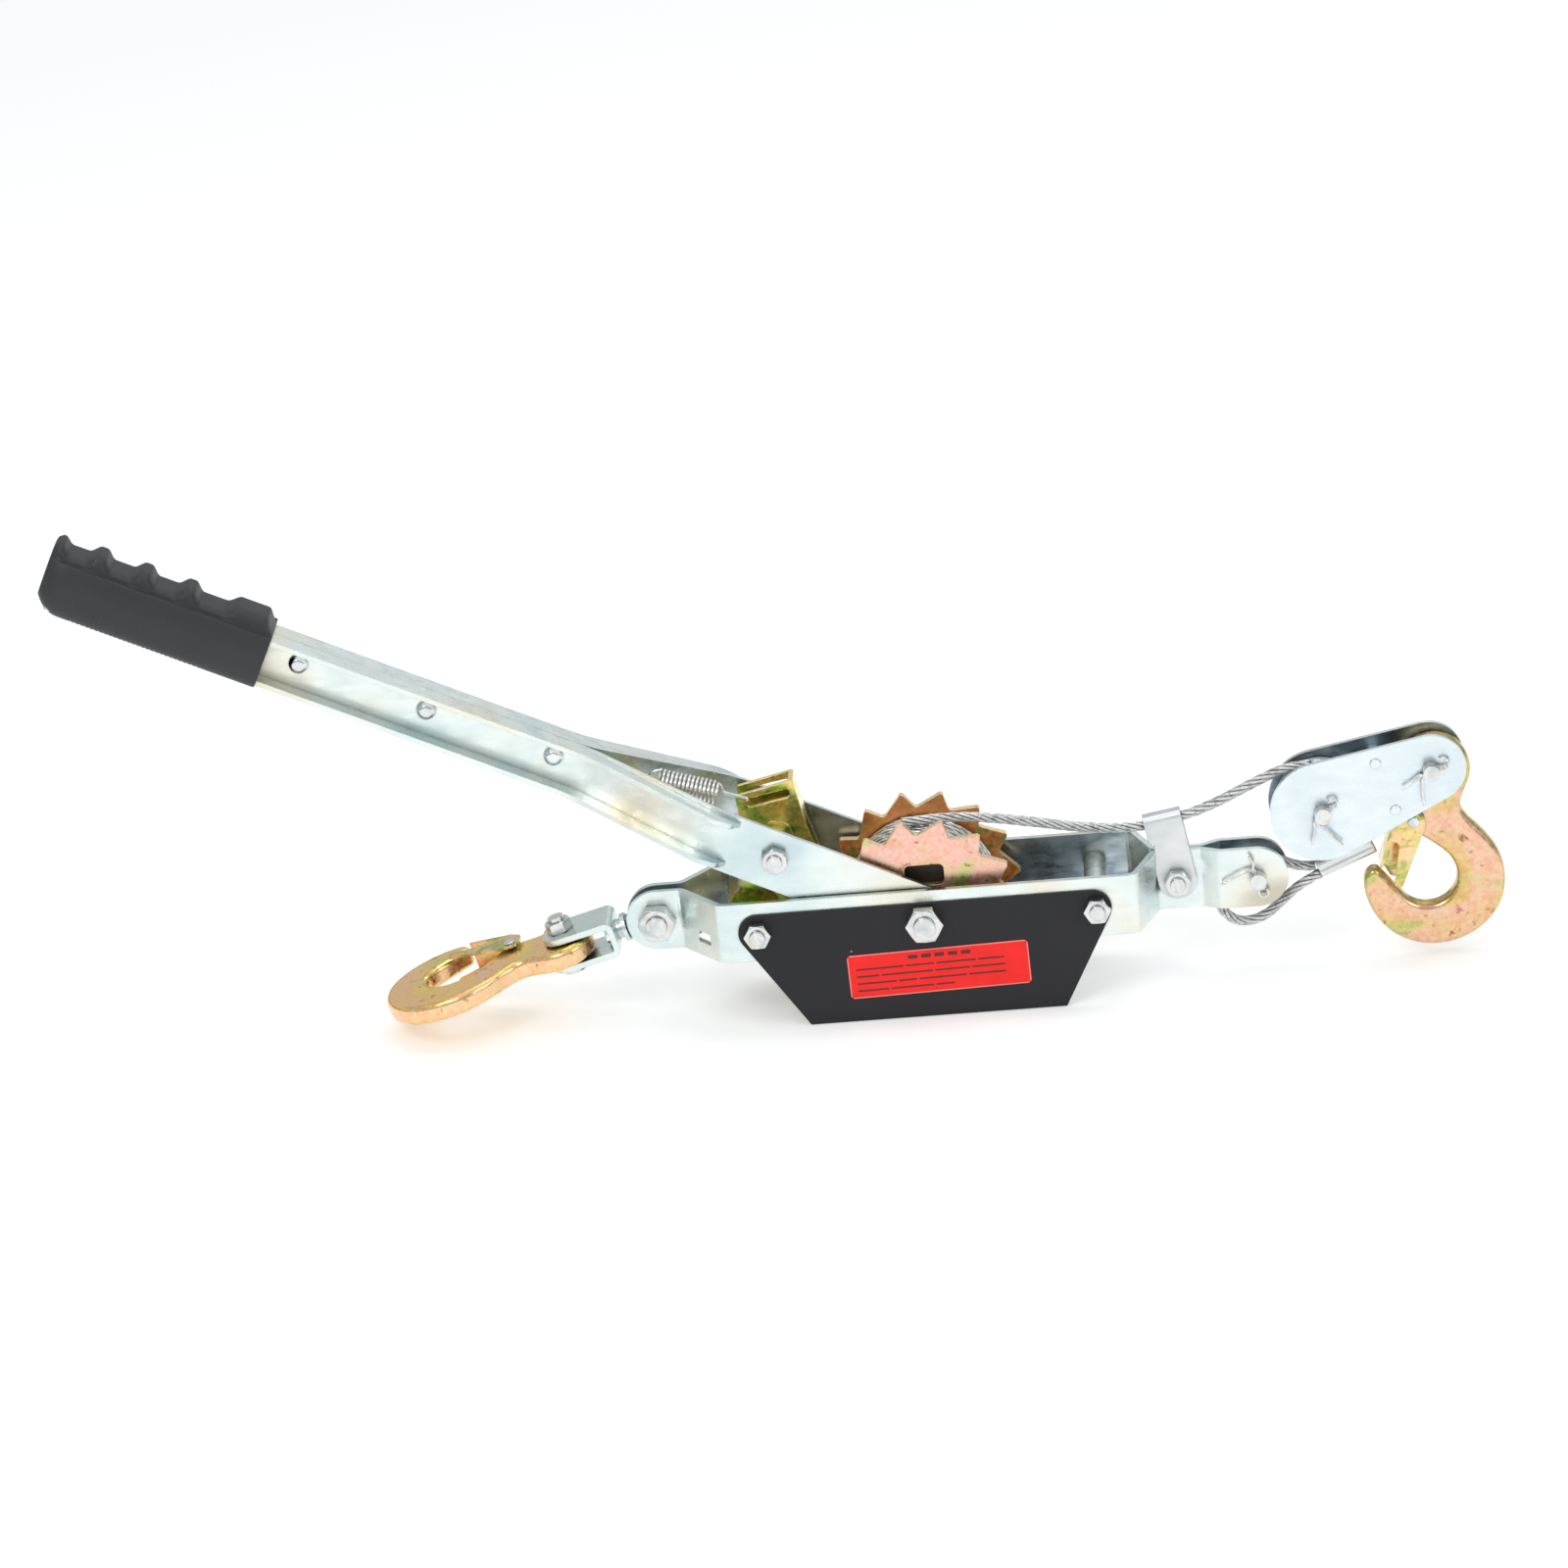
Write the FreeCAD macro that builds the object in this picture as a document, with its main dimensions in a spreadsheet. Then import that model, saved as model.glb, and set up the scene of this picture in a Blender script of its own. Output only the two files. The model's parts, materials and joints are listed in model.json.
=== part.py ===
import FreeCAD, Part
import math
import os
import re
import Sketcher
from FreeCAD import Placement, Rotation, Vector

# A hand cable puller (come along winch): a ratchet drum between two side straps,
# worked by a forked lever, pulling a wire rope that runs out through a block with
# a hook and back to a clevis on the straps. A second hook swivels at the rear.
# Millimetres. +Z is up, +X points from the lever's grip to the block.
# Most pieces are drawn about the drum's axle and then carried to their place.

doc = FreeCAD.newDocument("ComeAlongWinch")
sheet = doc.addObject("Spreadsheet::Sheet", "Sizes")

DRIVING = [
    ("axle_x", 64.35), ("axle_y", 1.55), ("axle_height", 49.5),
    # side straps
    ("strap_sheet", 3.0), ("strap_inner", 27.5), ("strap_height", 30.0), ("strap_bend", 3.0),
    ("rear_joint", 130.3), ("rear_joggle_in", 117.0), ("rear_joggle_out", 97.0), ("ear_gap", 6.0),
    ("front_joggle_out", 100.5), ("front_joggle_in", 111.0), ("neck_gap", 0.5),
    ("clevis_start", 135.0), ("clevis_open", 144.0), ("clevis_gap", 11.0), ("clevis_pin", 161.0),
    ("hold_bolt", 80.5), ("spacer_bolt", 83.0), ("guide_bolt", 122.5),
    # fasteners
    ("main_radius", 5.0), ("main_flats", 16.0), ("main_nut", 7.5),
    ("small_radius", 3.5), ("small_flats", 11.5), ("small_nut", 5.5),
    ("pin_radius", 4.0), ("running_gap", 0.05),
    # cover plates and label
    ("cover_sheet", 1.5), ("cover_round", 9.0), ("cover_rear", 59.0), ("cover_front", 65.0),
    ("label_sheet", 0.3), ("label_length", 87.5), ("label_height", 22.6), ("label_tilt", 1.2),
    # lever
    ("lever_angle", 26.0), ("lever_sheet", 2.5), ("fork_inner", 24.0), ("fork_root", 178.0),
    ("fork_open", 108.0), ("lever_end", 446.0), ("web_gap", 0.1), ("channel_low", 10.5),
    ("channel_high", 13.5), ("flange_reach", 12.0), ("fork_bend", 40.0),
    ("pawl_reach", 77.8), ("pawl_rise", 2.1), ("rivet_rise", 4.0), ("rivet_first", 193.0),
    ("rivet_step", 65.0), ("grip_start", 339.0), ("grip_end", 451.0), ("grip_half", 15.5),
    # drum
    ("wheel_sheet", 4.0), ("wheel_inner", 17.0), ("teeth", 15), ("tip_radius", 47.8),
    ("valley_radius", 39.2), ("tooth_phase", 3.4), ("tooth_face", 7.5),
    ("core_radius", 12.5), ("winding_radius", 36.4),
    # rope
    ("rope_size", 5.0), ("ferrule_length", 29.0), ("rope_slope", 22.5),
    # pulley block
    ("sheave_x", 194.0), ("sheave_z", 32.0), ("block_angle", 18.7), ("pin_distance", 55.7),
    ("block_sheet", 2.5), ("block_inner", 8.0), ("block_big", 25.0), ("block_small", 17.0),
    ("sheave_radius", 22.0), ("sheave_groove", 17.0), ("sheave_half", 7.5),
    # hooks
    ("hook_sheet", 10.0), ("hook_eye", 18.5), ("latch_sheet", 1.2), ("latch_inner", 6.35),
    # rear swivel
    ("swivel_drop", 14.8), ("swivel_roll", 0.0), ("hook_swing", 0.0), ("shank_radius", 5.0),
    ("yoke_base", 21.0), ("yoke_sheet", 3.0), ("yoke_gap", 12.0), ("yoke_width", 25.0),
    ("yoke_pin", 47.5),
]

for row, (alias, value) in enumerate(DRIVING, start=1):
    sheet.set("A%d" % row, alias.replace("_", " "))
    sheet.set("B%d" % row, str(value))
    sheet.setAlias("B%d" % row, alias)
doc.recompute()

ALIASES = {alias for alias, value in DRIVING}


def size(expression):
    """The value of a sheet alias, or of an expression that uses aliases."""
    return float(sheet.evalExpression(str(expression)))


def bind(piece, prop, expression):
    """Ties a property to an expression of sheet aliases."""
    words = re.sub(r"[a-z_]+", lambda word: named(word.group()), str(expression))
    piece.setExpression(prop, words)


def named(word):
    return "Sizes." + word if word in ALIASES else word


# ---- outlines: lists of corners (x, y, rounding radius)

def rounded(corners):
    """Lines and arcs of a closed outline whose corners are rounded."""
    edges = []
    starts = []
    ends = []
    count = len(corners)
    for index in range(count):
        x, y, radius = corners[index]
        corner = Vector(x, y, 0)
        back = Vector(*corners[index - 1][:2], 0) - corner
        ahead = Vector(*corners[(index + 1) % count][:2], 0) - corner
        back.normalize()
        ahead.normalize()
        half = back.getAngle(ahead) / 2
        if radius <= 0:
            starts.append(corner)
            ends.append(corner)
            continue
        reach = radius / math.tan(half)
        middle = back + ahead
        middle.normalize()
        centre = corner + middle * (radius / math.sin(half))
        starts.append(corner + back * reach)
        ends.append(corner + ahead * reach)
        edges.append((index, Part.Arc(starts[-1], centre - middle * radius, ends[-1])))
    arcs = dict(edges)
    outline = []
    for index in range(count):
        if index in arcs:
            outline.append(arcs[index])
        following = starts[(index + 1) % count]
        if (following - ends[index]).Length > 1e-6:
            outline.append(Part.LineSegment(ends[index], following))
    return outline


def strip(points, thickness, bend):
    """Corners of a bent strip: points run along one face, the sheet lies to their left."""
    base = []
    offset = []
    for index, (x, y) in enumerate(points):
        here = Vector(x, y, 0)
        ways = []
        if index > 0:
            ways.append(here - Vector(*points[index - 1], 0))
        if index < len(points) - 1:
            ways.append(Vector(*points[index + 1], 0) - here)
        for way in ways:
            way.normalize()
        turn = ways[0].cross(ways[-1]).z
        left = Vector(-(ways[0] + ways[-1]).y, (ways[0] + ways[-1]).x, 0)
        left.normalize()
        stretch = thickness / left.dot(Vector(-ways[0].y, ways[0].x, 0))
        outer = bend + thickness
        base.append((x, y, 0 if turn == 0 else outer if turn > 0 else bend))
        shifted = here + left * stretch
        offset.append((shifted.x, shifted.y, 0 if turn == 0 else bend if turn > 0 else outer))
    return base + offset[::-1]


def mirrored(corners):
    return [(x, -y, radius) for x, y, radius in corners]


# ---- features

PLANES = {
    "side": ("y", Rotation(Vector(1, 0, 0), 90)),      # drawn x, z; grows towards -Y
    "top": ("z", Rotation()),                          # drawn x, y; grows upwards
    "end": ("x", Rotation(Vector(1, 1, 1), 120)),      # drawn y, z; grows towards +X
}
nodes = []


def add(kind, name):
    return doc.addObject(kind, name)


def sketch(name, edges, holes=()):
    drawing = add("Sketcher::SketchObject", name + "_sketch")
    draw(drawing, edges, holes)
    return drawing


def draw(drawing, edges, holes):
    drawing.addGeometry(edges, False)
    for x, y, radius in holes:
        circle = Part.Circle(Vector(x, y, 0), Vector(0, 0, 1), size(radius))
        place = drawing.addGeometry(circle, False)
        rule = drawing.addConstraint(Sketcher.Constraint("Radius", place, size(radius)))
        bind(drawing, "Constraints[%d]" % rule, radius)


def extrude(name, plane, edges, start, length, holes=()):
    """A sketch in a side, top or end plane, extruded from start by length."""
    axis, turn = PLANES[plane]
    drawing = sketch(name, edges, holes)
    drawing.Placement = Placement(Vector(), turn)
    bind(drawing, ".Placement.Base." + axis, start)
    piece = add("Part::Extrusion", name)
    piece.Base = drawing
    piece.DirMode = "Normal"
    piece.Solid = True
    bind(piece, "LengthFwd", length)
    return piece


def turned(name, edges):
    """A profile drawn as radius, distance along Y and turned about the Y axis."""
    piece = add("Part::Revolution", name)
    piece.Source = sketch(name, edges)
    piece.Axis = Vector(0, 1, 0)
    piece.Angle = 360
    piece.Solid = True
    return piece


def plain_ring(name, inner, outer, low, high, x=0, z=0):
    """A turned ring or disc about an axis along Y."""
    corners = [(size(inner), size(low), 0), (size(outer), size(low), 0),
               (size(outer), size(high), 0), (size(inner), size(high), 0)]
    piece = turned(name, rounded(corners))
    piece.Placement = Placement(Vector(x, 0, z), Rotation())
    return piece


def rod(name, radius, top, length, x=0, z=0):
    """A cylinder along Y that reaches from top down towards the near side."""
    piece = add("Part::Cylinder", name)
    piece.Placement = Placement(Vector(x, size(top), z), Rotation(Vector(1, 0, 0), 90))
    bind(piece, "Radius", radius)
    bind(piece, "Height", length)
    return piece


def hexagon(name, flats, top, length, x=0, z=0):
    """A hexagon along Y, reaching from top towards the near side, with turned-off corners."""
    prism = add("Part::Prism", name)
    prism.Polygon = 6
    prism.Placement = Placement(Vector(x, size(top), z), Rotation(Vector(1, 0, 0), 90))
    bind(prism, "Circumradius", "(%s) / sqrt(3)" % flats)
    bind(prism, "Height", length)
    face = size(flats) / 2 - 0.1
    corner = size(flats) / math.sqrt(3) + 0.3
    high = size(top) + 0.01
    low = high - size(length) - 0.02
    slope = (corner - face) * 0.55
    lens = turned(name + "_lens", rounded([(0, low, 0), (face, low, 0), (corner, low + slope, 0),
                                           (corner, high - slope, 0), (face, high, 0), (0, high, 0)]))
    lens.Placement = Placement(Vector(x, 0, z), Rotation())
    return common(name + "_shaped", [prism, lens])


def joined(name, pieces):
    piece = add("Part::MultiFuse", name)
    piece.Shapes = pieces
    return piece


def common(name, pieces):
    piece = add("Part::MultiCommon", name)
    piece.Shapes = pieces
    return piece


def minus(name, base, tool):
    piece = add("Part::Cut", name)
    piece.Base = base
    piece.Tool = tool
    return piece


def shaped(name, shape):
    piece = add("Part::Feature", name)
    piece.Shape = shape
    return piece


def node(label, piece, place):
    """Names a finished sub-part and carries it to its place."""
    piece.Label = label
    piece.Placement = place * piece.Placement
    nodes.append(piece)
    return piece


def bolt(name, radius, flats, head, seat, end, x=0, z=0):
    """A hexagon bolt along Y: head seated at seat on the far side, tip at end."""
    cap = hexagon(name + "_head", flats, "%s + %s" % (seat, head), head, x, z)
    shank = rod(name + "_shank", radius, seat + " + 1", "%s + 1 - (%s)" % (seat, end), x, z)
    return joined(name, [cap, shank])


def nut(name, radius, flats, height, seat, x=0, z=0):
    """A hexagon nut on the near side whose inner face is at seat."""
    block = hexagon(name + "_block", flats, seat, height, x, z)
    bore = rod(name + "_bore", radius + " + 0.02", seat + " + 1", height + " + 2", x, z)
    return minus(name, block, bore)


def body_plate(name, edges, start, thickness, holes):
    """A flat plate made as a body: one sketch across Y and one pad."""
    body = add("PartDesign::Body", name)
    drawing = body.newObject("Sketcher::SketchObject", name + "_outline")
    side = [plane for plane in body.Origin.OriginFeatures if plane.Role == "XZ_Plane"][0]
    drawing.AttachmentSupport = [(side, "")]
    drawing.MapMode = "FlatFace"
    bind(drawing, ".AttachmentOffset.Base.z", "0 - (%s)" % start)
    draw(drawing, edges, holes)
    pad = body.newObject("PartDesign::Pad", name + "_pad")
    pad.Profile = drawing
    bind(pad, "Length", thickness)
    body.Tip = pad
    return body


def path(points, closed=False):
    """A route of straight runs joined by tangent arcs, in the X-Z plane."""
    spots = [Vector(x, 0, z) for x, z in points]
    edges = []
    radii = []
    last = spots[0]
    for before, corner, after in zip(spots, spots[1:], spots[2:]):
        back = before - corner
        ahead = after - corner
        run = min(back.Length, ahead.Length)
        half = back.getAngle(ahead) / 2
        reach = 0.45 * run
        radius = reach * math.tan(half)
        radii.append(radius)
        back.normalize()
        ahead.normalize()
        middle = back + ahead
        middle.normalize()
        centre = corner + middle * (radius / math.sin(half))
        first = corner + back * reach
        second = corner + ahead * reach
        if (first - last).Length > 1e-6:
            edges.append(Part.LineSegment(last, first).toShape())
        edges.append(Part.Arc(first, centre - middle * radius, second).toShape())
        last = second
    edges.append(Part.LineSegment(last, spots[-1]).toShape())
    return Part.Wire(edges), radii


def tube(name, points, diameter):
    """A round rope, wire or bar along a route."""
    spine, radii = path(points)
    start = Vector(points[0][0], 0, points[0][1])
    way = Vector(points[1][0], 0, points[1][1]) - start
    ring = Part.Wire([Part.makeCircle(diameter / 2, start, way)])
    solid = spine.makePipeShell([ring], True, False)
    section = math.pi * diameter ** 2 / 4
    if abs(solid.Volume / (section * spine.Length) - 1) > 0.01:
        raise ValueError(name + ": the tube's volume is wrong")
    print("%s: length %.1f, smallest radius %.1f" % (name, spine.Length, min(radii)))
    return solid


# ---- places

axle = Placement(Vector(size("axle_x"), size("axle_y"), size("axle_height")), Rotation())
upright = Vector(0, 1, 0)
lever = axle * Placement(Vector(), Rotation(upright, size("lever_angle")))
pawl_spot = Rotation(upright, size("lever_angle")).multVec(
    Vector(-size("pawl_reach"), 0, size("pawl_rise")))
drive = axle * Placement(pawl_spot, Rotation())
hold = axle * Placement(Vector(-size("hold_bolt"), 0, 0), Rotation())
block = axle * Placement(Vector(size("sheave_x"), 0, size("sheave_z")),
                         Rotation(upright, -size("block_angle")))
block_eye = Placement((block * Placement(Vector(size("pin_distance"), 0, 0), Rotation())).Base,
                      Rotation())
swivel = axle * Placement(Vector(-size("rear_joint"), 0, 0), Rotation(upright, -size("swivel_drop")))
yoke = swivel * Placement(Vector(), Rotation(Vector(1, 0, 0), size("swivel_roll")))
# the rear hook lies along the yoke with its opening to the far side
lay_down = Rotation(FreeCAD.Matrix(0, 0, 1, 0, -1, 0, 0, 0, 0, -1, 0, 0, 0, 0, 0, 1))
rear_eye = yoke * Placement(Vector(-size("yoke_pin"), 0, 0),
                            Rotation(Vector(0, 0, 1), -size("hook_swing")) * lay_down)


# ---- side straps

def strap_path():
    """The inner face of the far strap seen from above, rear to front."""
    inner = size("strap_inner")
    ear = size("ear_gap") / 2
    neck = size("neck_gap") / 2
    clevis = size("clevis_gap") / 2
    end = size("clevis_pin + strap_height / 2")
    return [(-size("rear_joint + strap_height / 2"), ear), (-size("rear_joggle_in"), ear),
            (-size("rear_joggle_out"), inner), (size("front_joggle_out"), inner),
            (size("front_joggle_in"), neck), (size("clevis_start"), neck),
            (size("clevis_open"), clevis), (end, clevis)]


def strap(name, side):
    half = size("strap_height / 2")
    rear = -size("rear_joint") - half
    front = size("clevis_pin") + half
    corners = strip(strap_path(), size("strap_sheet"), size("strap_bend"))
    if side < 0:
        corners = mirrored(corners)
    bent = extrude(name + "_bent", "top", rounded(corners), "0 - strap_height / 2", "strap_height")
    round_end = half - 0.01
    outline = [(rear, half, round_end), (rear, -half, round_end),
               (front, -half, round_end), (front, half, round_end)]
    holes = [(-size("rear_joint"), 0, "main_radius"), (-size("hold_bolt"), 0, "small_radius"),
             (0, 0, "main_radius"), (size("spacer_bolt"), 0, "small_radius"),
             (size("guide_bolt"), 0, "small_radius"), (size("clevis_pin"), 0, "pin_radius")]
    side_view = extrude(name + "_side", "side", rounded(outline), "strap_inner + 10",
                        "2 * strap_inner + 20", holes)
    whole = common(name + "_whole", [bent, side_view])
    x = -size("rear_joggle_in + rear_joggle_out") / 2
    square = [(x - 3, -8, 0.5), (x + 3, -8, 0.5), (x + 3, -2.5, 0.5), (x - 3, -2.5, 0.5)]
    punch = extrude(name + "_punch", "side", rounded(square), "strap_inner + 10",
                    "2 * strap_inner + 20")
    return minus(name, whole, punch)


node("side_strap_near", strap("side_strap_near", -1), axle)
node("side_strap_far", strap("side_strap_far", 1), axle)


def cover(name, side):
    round_corner = size("cover_round") - 0.01
    left = -size("hold_bolt + cover_round")
    right = size("spacer_bolt + cover_round")
    top = size("cover_round")
    bottom = -size("axle_height")
    # the slanted sides leave the rounded bolt corners as tangents
    outline = [(left - 8, top, round_corner), (-size("cover_rear"), bottom, 0.5),
               (size("cover_front"), bottom, 0.5), (right + 4, top, round_corner)]
    outer = "strap_inner + strap_sheet"
    start = "0 - (%s)" % outer if side < 0 else outer + " + cover_sheet"
    holes = [(-size("hold_bolt"), 0, "small_radius"), (0, 0, "main_radius"),
             (size("spacer_bolt"), 0, "small_radius")]
    return body_plate(name, rounded(outline), start, "cover_sheet", holes)


node("cover_plate_near", cover("cover_plate_near", -1), axle)
node("cover_plate_far", cover("cover_plate_far", 1), axle)

half_length = size("label_length / 2")
half_height = size("label_height / 2")
label_corners = [(-half_length, -half_height, 2), (half_length, -half_height, 2),
                 (half_length, half_height, 2), (-half_length, half_height, 2)]
label = body_plate("safety_label", rounded(label_corners),
                   "0 - (strap_inner + strap_sheet + cover_sheet)", "label_sheet", [])
label_spot = Placement(Vector(5.0, 0, -25.5), Rotation(upright, -size("label_tilt")))
node("safety_label", label, axle * label_spot)

# ---- bolts through the straps; heads on the far side, nuts on the near side
outside = "(strap_inner + strap_sheet + cover_sheet)"
tip = "0 - (%s + %s + 2)"
node("main_bolt", bolt("main_bolt", "main_radius", "main_flats", "6.4", outside,
                       tip % (outside, "main_nut")), axle)
node("main_nut", nut("main_nut", "main_radius", "main_flats", "main_nut", "0 - " + outside), axle)
for label_name, x in (("hold_pawl", -size("hold_bolt")), ("spacer", size("spacer_bolt"))):
    node(label_name + "_bolt", bolt(label_name + "_bolt", "small_radius", "small_flats", "4.5",
                                    outside, tip % (outside, "small_nut"), x), axle)
    node(label_name + "_nut", nut(label_name + "_nut", "small_radius", "small_flats", "small_nut",
                                  "0 - " + outside, x), axle)
node("spacer_tube", plain_ring("spacer_tube", "small_radius + 0.1", "small_radius + 2",
                               "0 - strap_inner", "strap_inner", size("spacer_bolt")), axle)
ear_face = "(ear_gap / 2 + strap_sheet)"
node("rear_bolt", bolt("rear_bolt", "main_radius", "main_flats", "6.4", ear_face,
                       tip % (ear_face, "main_nut"), -size("rear_joint")), axle)
node("rear_nut", nut("rear_nut", "main_radius", "main_flats", "main_nut", "0 - " + ear_face,
                     -size("rear_joint")), axle)


# ---- rope guide: a folded strap over the rope, bolted through the neck

def rope_guide():
    half = size("neck_gap / 2 + strap_sheet") + 0.05
    sheet_size = 1.6
    top = 33.2
    low = -9.25
    outer = half + sheet_size
    arch = [(-half, low, 0), (-half, top, half - 0.1), (half, top, half - 0.1), (half, low, 0),
            (outer, low, 0), (outer, top + sheet_size, half), (-outer, top + sheet_size, half),
            (-outer, low, 0)]
    folded = extrude("rope_guide_fold", "end", rounded(arch), "0 - 9.25", "18.5")
    side = [(-9.25, low, 9.24), (9.25, low, 9.24), (9.25, top + 3, 0.5), (-9.25, top + 3, 0.5)]
    trimmed = extrude("rope_guide_side", "side", rounded(side), "8", "16",
                      [(0, 0, "small_radius")])
    guide = common("rope_guide_whole", [folded, trimmed])
    # its rear edges clear the bends of the straps
    for name, side in (("near", -1), ("far", 1)):
        corners = strip(strap_path(), size("strap_sheet"), size("strap_bend"))
        if side < 0:
            corners = mirrored(corners)
        bend = extrude("rope_guide_bend_" + name, "top", rounded(corners), "0 - 20", "40")
        bend.Placement = guide_lean.inverse()
        guide = minus("rope_guide_" + name, guide, bend)
    return guide


guide_lean = Placement(Vector(size("guide_bolt"), 0, 0), Rotation(upright, -9.3))
node("rope_guide", rope_guide(), axle * guide_lean)
guide_face = "(neck_gap / 2 + strap_sheet + 0.05 + 1.6)"
node("guide_bolt", bolt("guide_bolt", "small_radius", "small_flats", "4.5", guide_face,
                        tip % (guide_face, "small_nut"), size("guide_bolt")), axle)
node("guide_nut", nut("guide_nut", "small_radius", "small_flats", "small_nut", "0 - " + guide_face,
                      size("guide_bolt")), axle)


# ---- clevis and block pins: a flat head on the far side, a cotter on the near side

COTTER_WIRE = 1.8


def headed_pin(name, face):
    """A pin along Y with a flat head; its tip carries a cotter hole."""
    head = rod(name + "_cap", "pin_radius + 2", face + " + 3", "3")
    shank = rod(name + "_shank", "pin_radius", face + " + 1", "2 * (%s) + 8" % face)
    whole = joined(name + "_whole", [head, shank])
    hole = add("Part::Cylinder", name + "_hole")
    hole.Radius = COTTER_WIRE / 2
    hole.Height = 20
    hole.Placement = Placement(Vector(0, -size(face) - 3, -10), Rotation())
    return minus(name, whole, hole)


def cotter(name, face, eye_angle, legs):
    """A split pin through the pin's tip: an eye on one side, two bent legs on the other."""
    wire = COTTER_WIRE * 0.8
    reach = size("pin_radius")
    stem = Part.makeCylinder(COTTER_WIRE / 2 - 0.02, 2 * reach + 0.6, Vector(0, 0, -reach - 0.3))
    loop = tube(name, [(0.3, reach), (2.3, reach + 1.8), (2.3, reach + 4.2), (0, reach + 5.8),
                       (-2.3, reach + 4.2), (-2.0, reach + 1.9)], wire)
    shape = stem.fuse(loop)
    turn = Rotation(Vector(0, 1, 0), 90 - eye_angle)
    shape.Placement = Placement(Vector(), turn)
    foot = turn.multVec(Vector(0, 0, -reach + 0.4))
    for shift, route in zip((-0.7, 0.7), legs):
        out = turn.multVec(Vector(shift, 0, -reach - 1.2))
        points = [(foot.x, foot.z), (out.x, out.z)] + route
        shape = shape.fuse(tube(name, points, wire))
    shape.translate(Vector(0, -size(face) - 3, 0))
    return shaped(name, shape)


clevis = axle * Placement(Vector(size("clevis_pin"), 0, 0), Rotation())
clevis_face = "(clevis_gap / 2 + strap_sheet + 0.1)"
node("clevis_pin", headed_pin("clevis_pin", clevis_face),
     clevis * Placement(Vector(), Rotation(upright, 160)))
node("clevis_cotter", cotter("clevis_cotter", clevis_face, -70,
                             ([(-7, 4.5), (-18, -1.5)], [(-1.5, 8.5), (-3.5, 12.5)])), clevis)


# ---- wire rope: drum to guide to block, round the sheave and back to an eye

ROPE_LEAD = [(-8, 38.9), (12, 40.4), (33, 38.5), (58.7, 33.6), (77, 29.6), (96, 27.5),
             (110, 27.9), (127, 31.2), (143.2, 36.6), (160.2, 44.8), (174, 50.9),
             (182.5, 52.6), (190, 53.0)]
ROPE_RETURN = [(190, 53.0), (200.5, 52.6), (211.5, 47), (219.5, 36.5), (223, 25.5),
               (221.5, 17.5), (216.8, 13.5)]
ROPE_EYE = [(189.1, 0.7), (183, 0.1), (172, 5.0), (162, 7.6), (152, 6.9), (144.4, 0.4),
            (141.0, -9), (142.2, -18.7), (150.5, -26.4), (163, -24.4), (172.5, -16.2),
            (182, -7.9), (191.5, -3.6)]

rope = size("rope_size")
node("rope_lead", shaped("rope_lead", tube("rope_lead", ROPE_LEAD, rope)), axle)
node("rope_return", shaped("rope_return", tube("rope_return", ROPE_RETURN, rope)), axle)
node("rope_eye", shaped("rope_eye", tube("rope_eye", ROPE_EYE, rope)), axle)


def ferrule():
    """An oval crimp sleeve over the two legs of the eye."""
    oval = [(-3.5, -4.9, 3.49), (3.5, -4.9, 3.49), (3.5, 4.9, 3.49), (-3.5, 4.9, 3.49)]
    return extrude("ferrule", "end", rounded(oval), "0", "ferrule_length")


ferrule_spot = Placement(Vector(190.8, 0, -1.2), Rotation(upright, -size("rope_slope")))
node("rope_ferrule", ferrule(), axle * ferrule_spot)


# ---- drum: two ratchet wheels on a core, with the rope wound between them

def wheel(name, side):
    teeth = int(size("teeth"))
    pitch = 360.0 / teeth
    corners = []
    for tooth in range(teeth):
        tip_angle = math.radians(size("tooth_phase") + tooth * pitch)
        foot_angle = tip_angle - math.radians(size("tooth_face"))
        foot = size("valley_radius")
        point = size("tip_radius")
        corners.append((foot * math.cos(foot_angle), foot * math.sin(foot_angle), 2.0))
        corners.append((point * math.cos(tip_angle), point * math.sin(tip_angle), 1.4))
    start = "0 - wheel_inner" if side < 0 else "wheel_inner + wheel_sheet"
    disc = body_plate(name + "_disc", rounded(corners), start, "wheel_sheet",
                      [(0, 0, "main_radius + running_gap")])
    window = [(-8, 14, 2.5), (11, 14, 2.5), (11, 24.5, 2.5), (-8, 24.5, 2.5)]
    cutter = extrude(name + "_window", "side", rounded(window), "30", "60")
    return minus(name, disc, cutter)


node("ratchet_wheel_near", wheel("ratchet_wheel_near", -1), axle)
node("ratchet_wheel_far", wheel("ratchet_wheel_far", 1), axle)
node("drum_core", plain_ring("drum_core", "main_radius + running_gap", "core_radius",
                             "0 - wheel_inner", "wheel_inner"), axle)
node("rope_winding", plain_ring("rope_winding", "core_radius", "winding_radius",
                                "0 - wheel_inner + 0.2", "wheel_inner - 0.2"), axle)


# ---- lever: two stamped channels back to back that open into a fork

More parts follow.
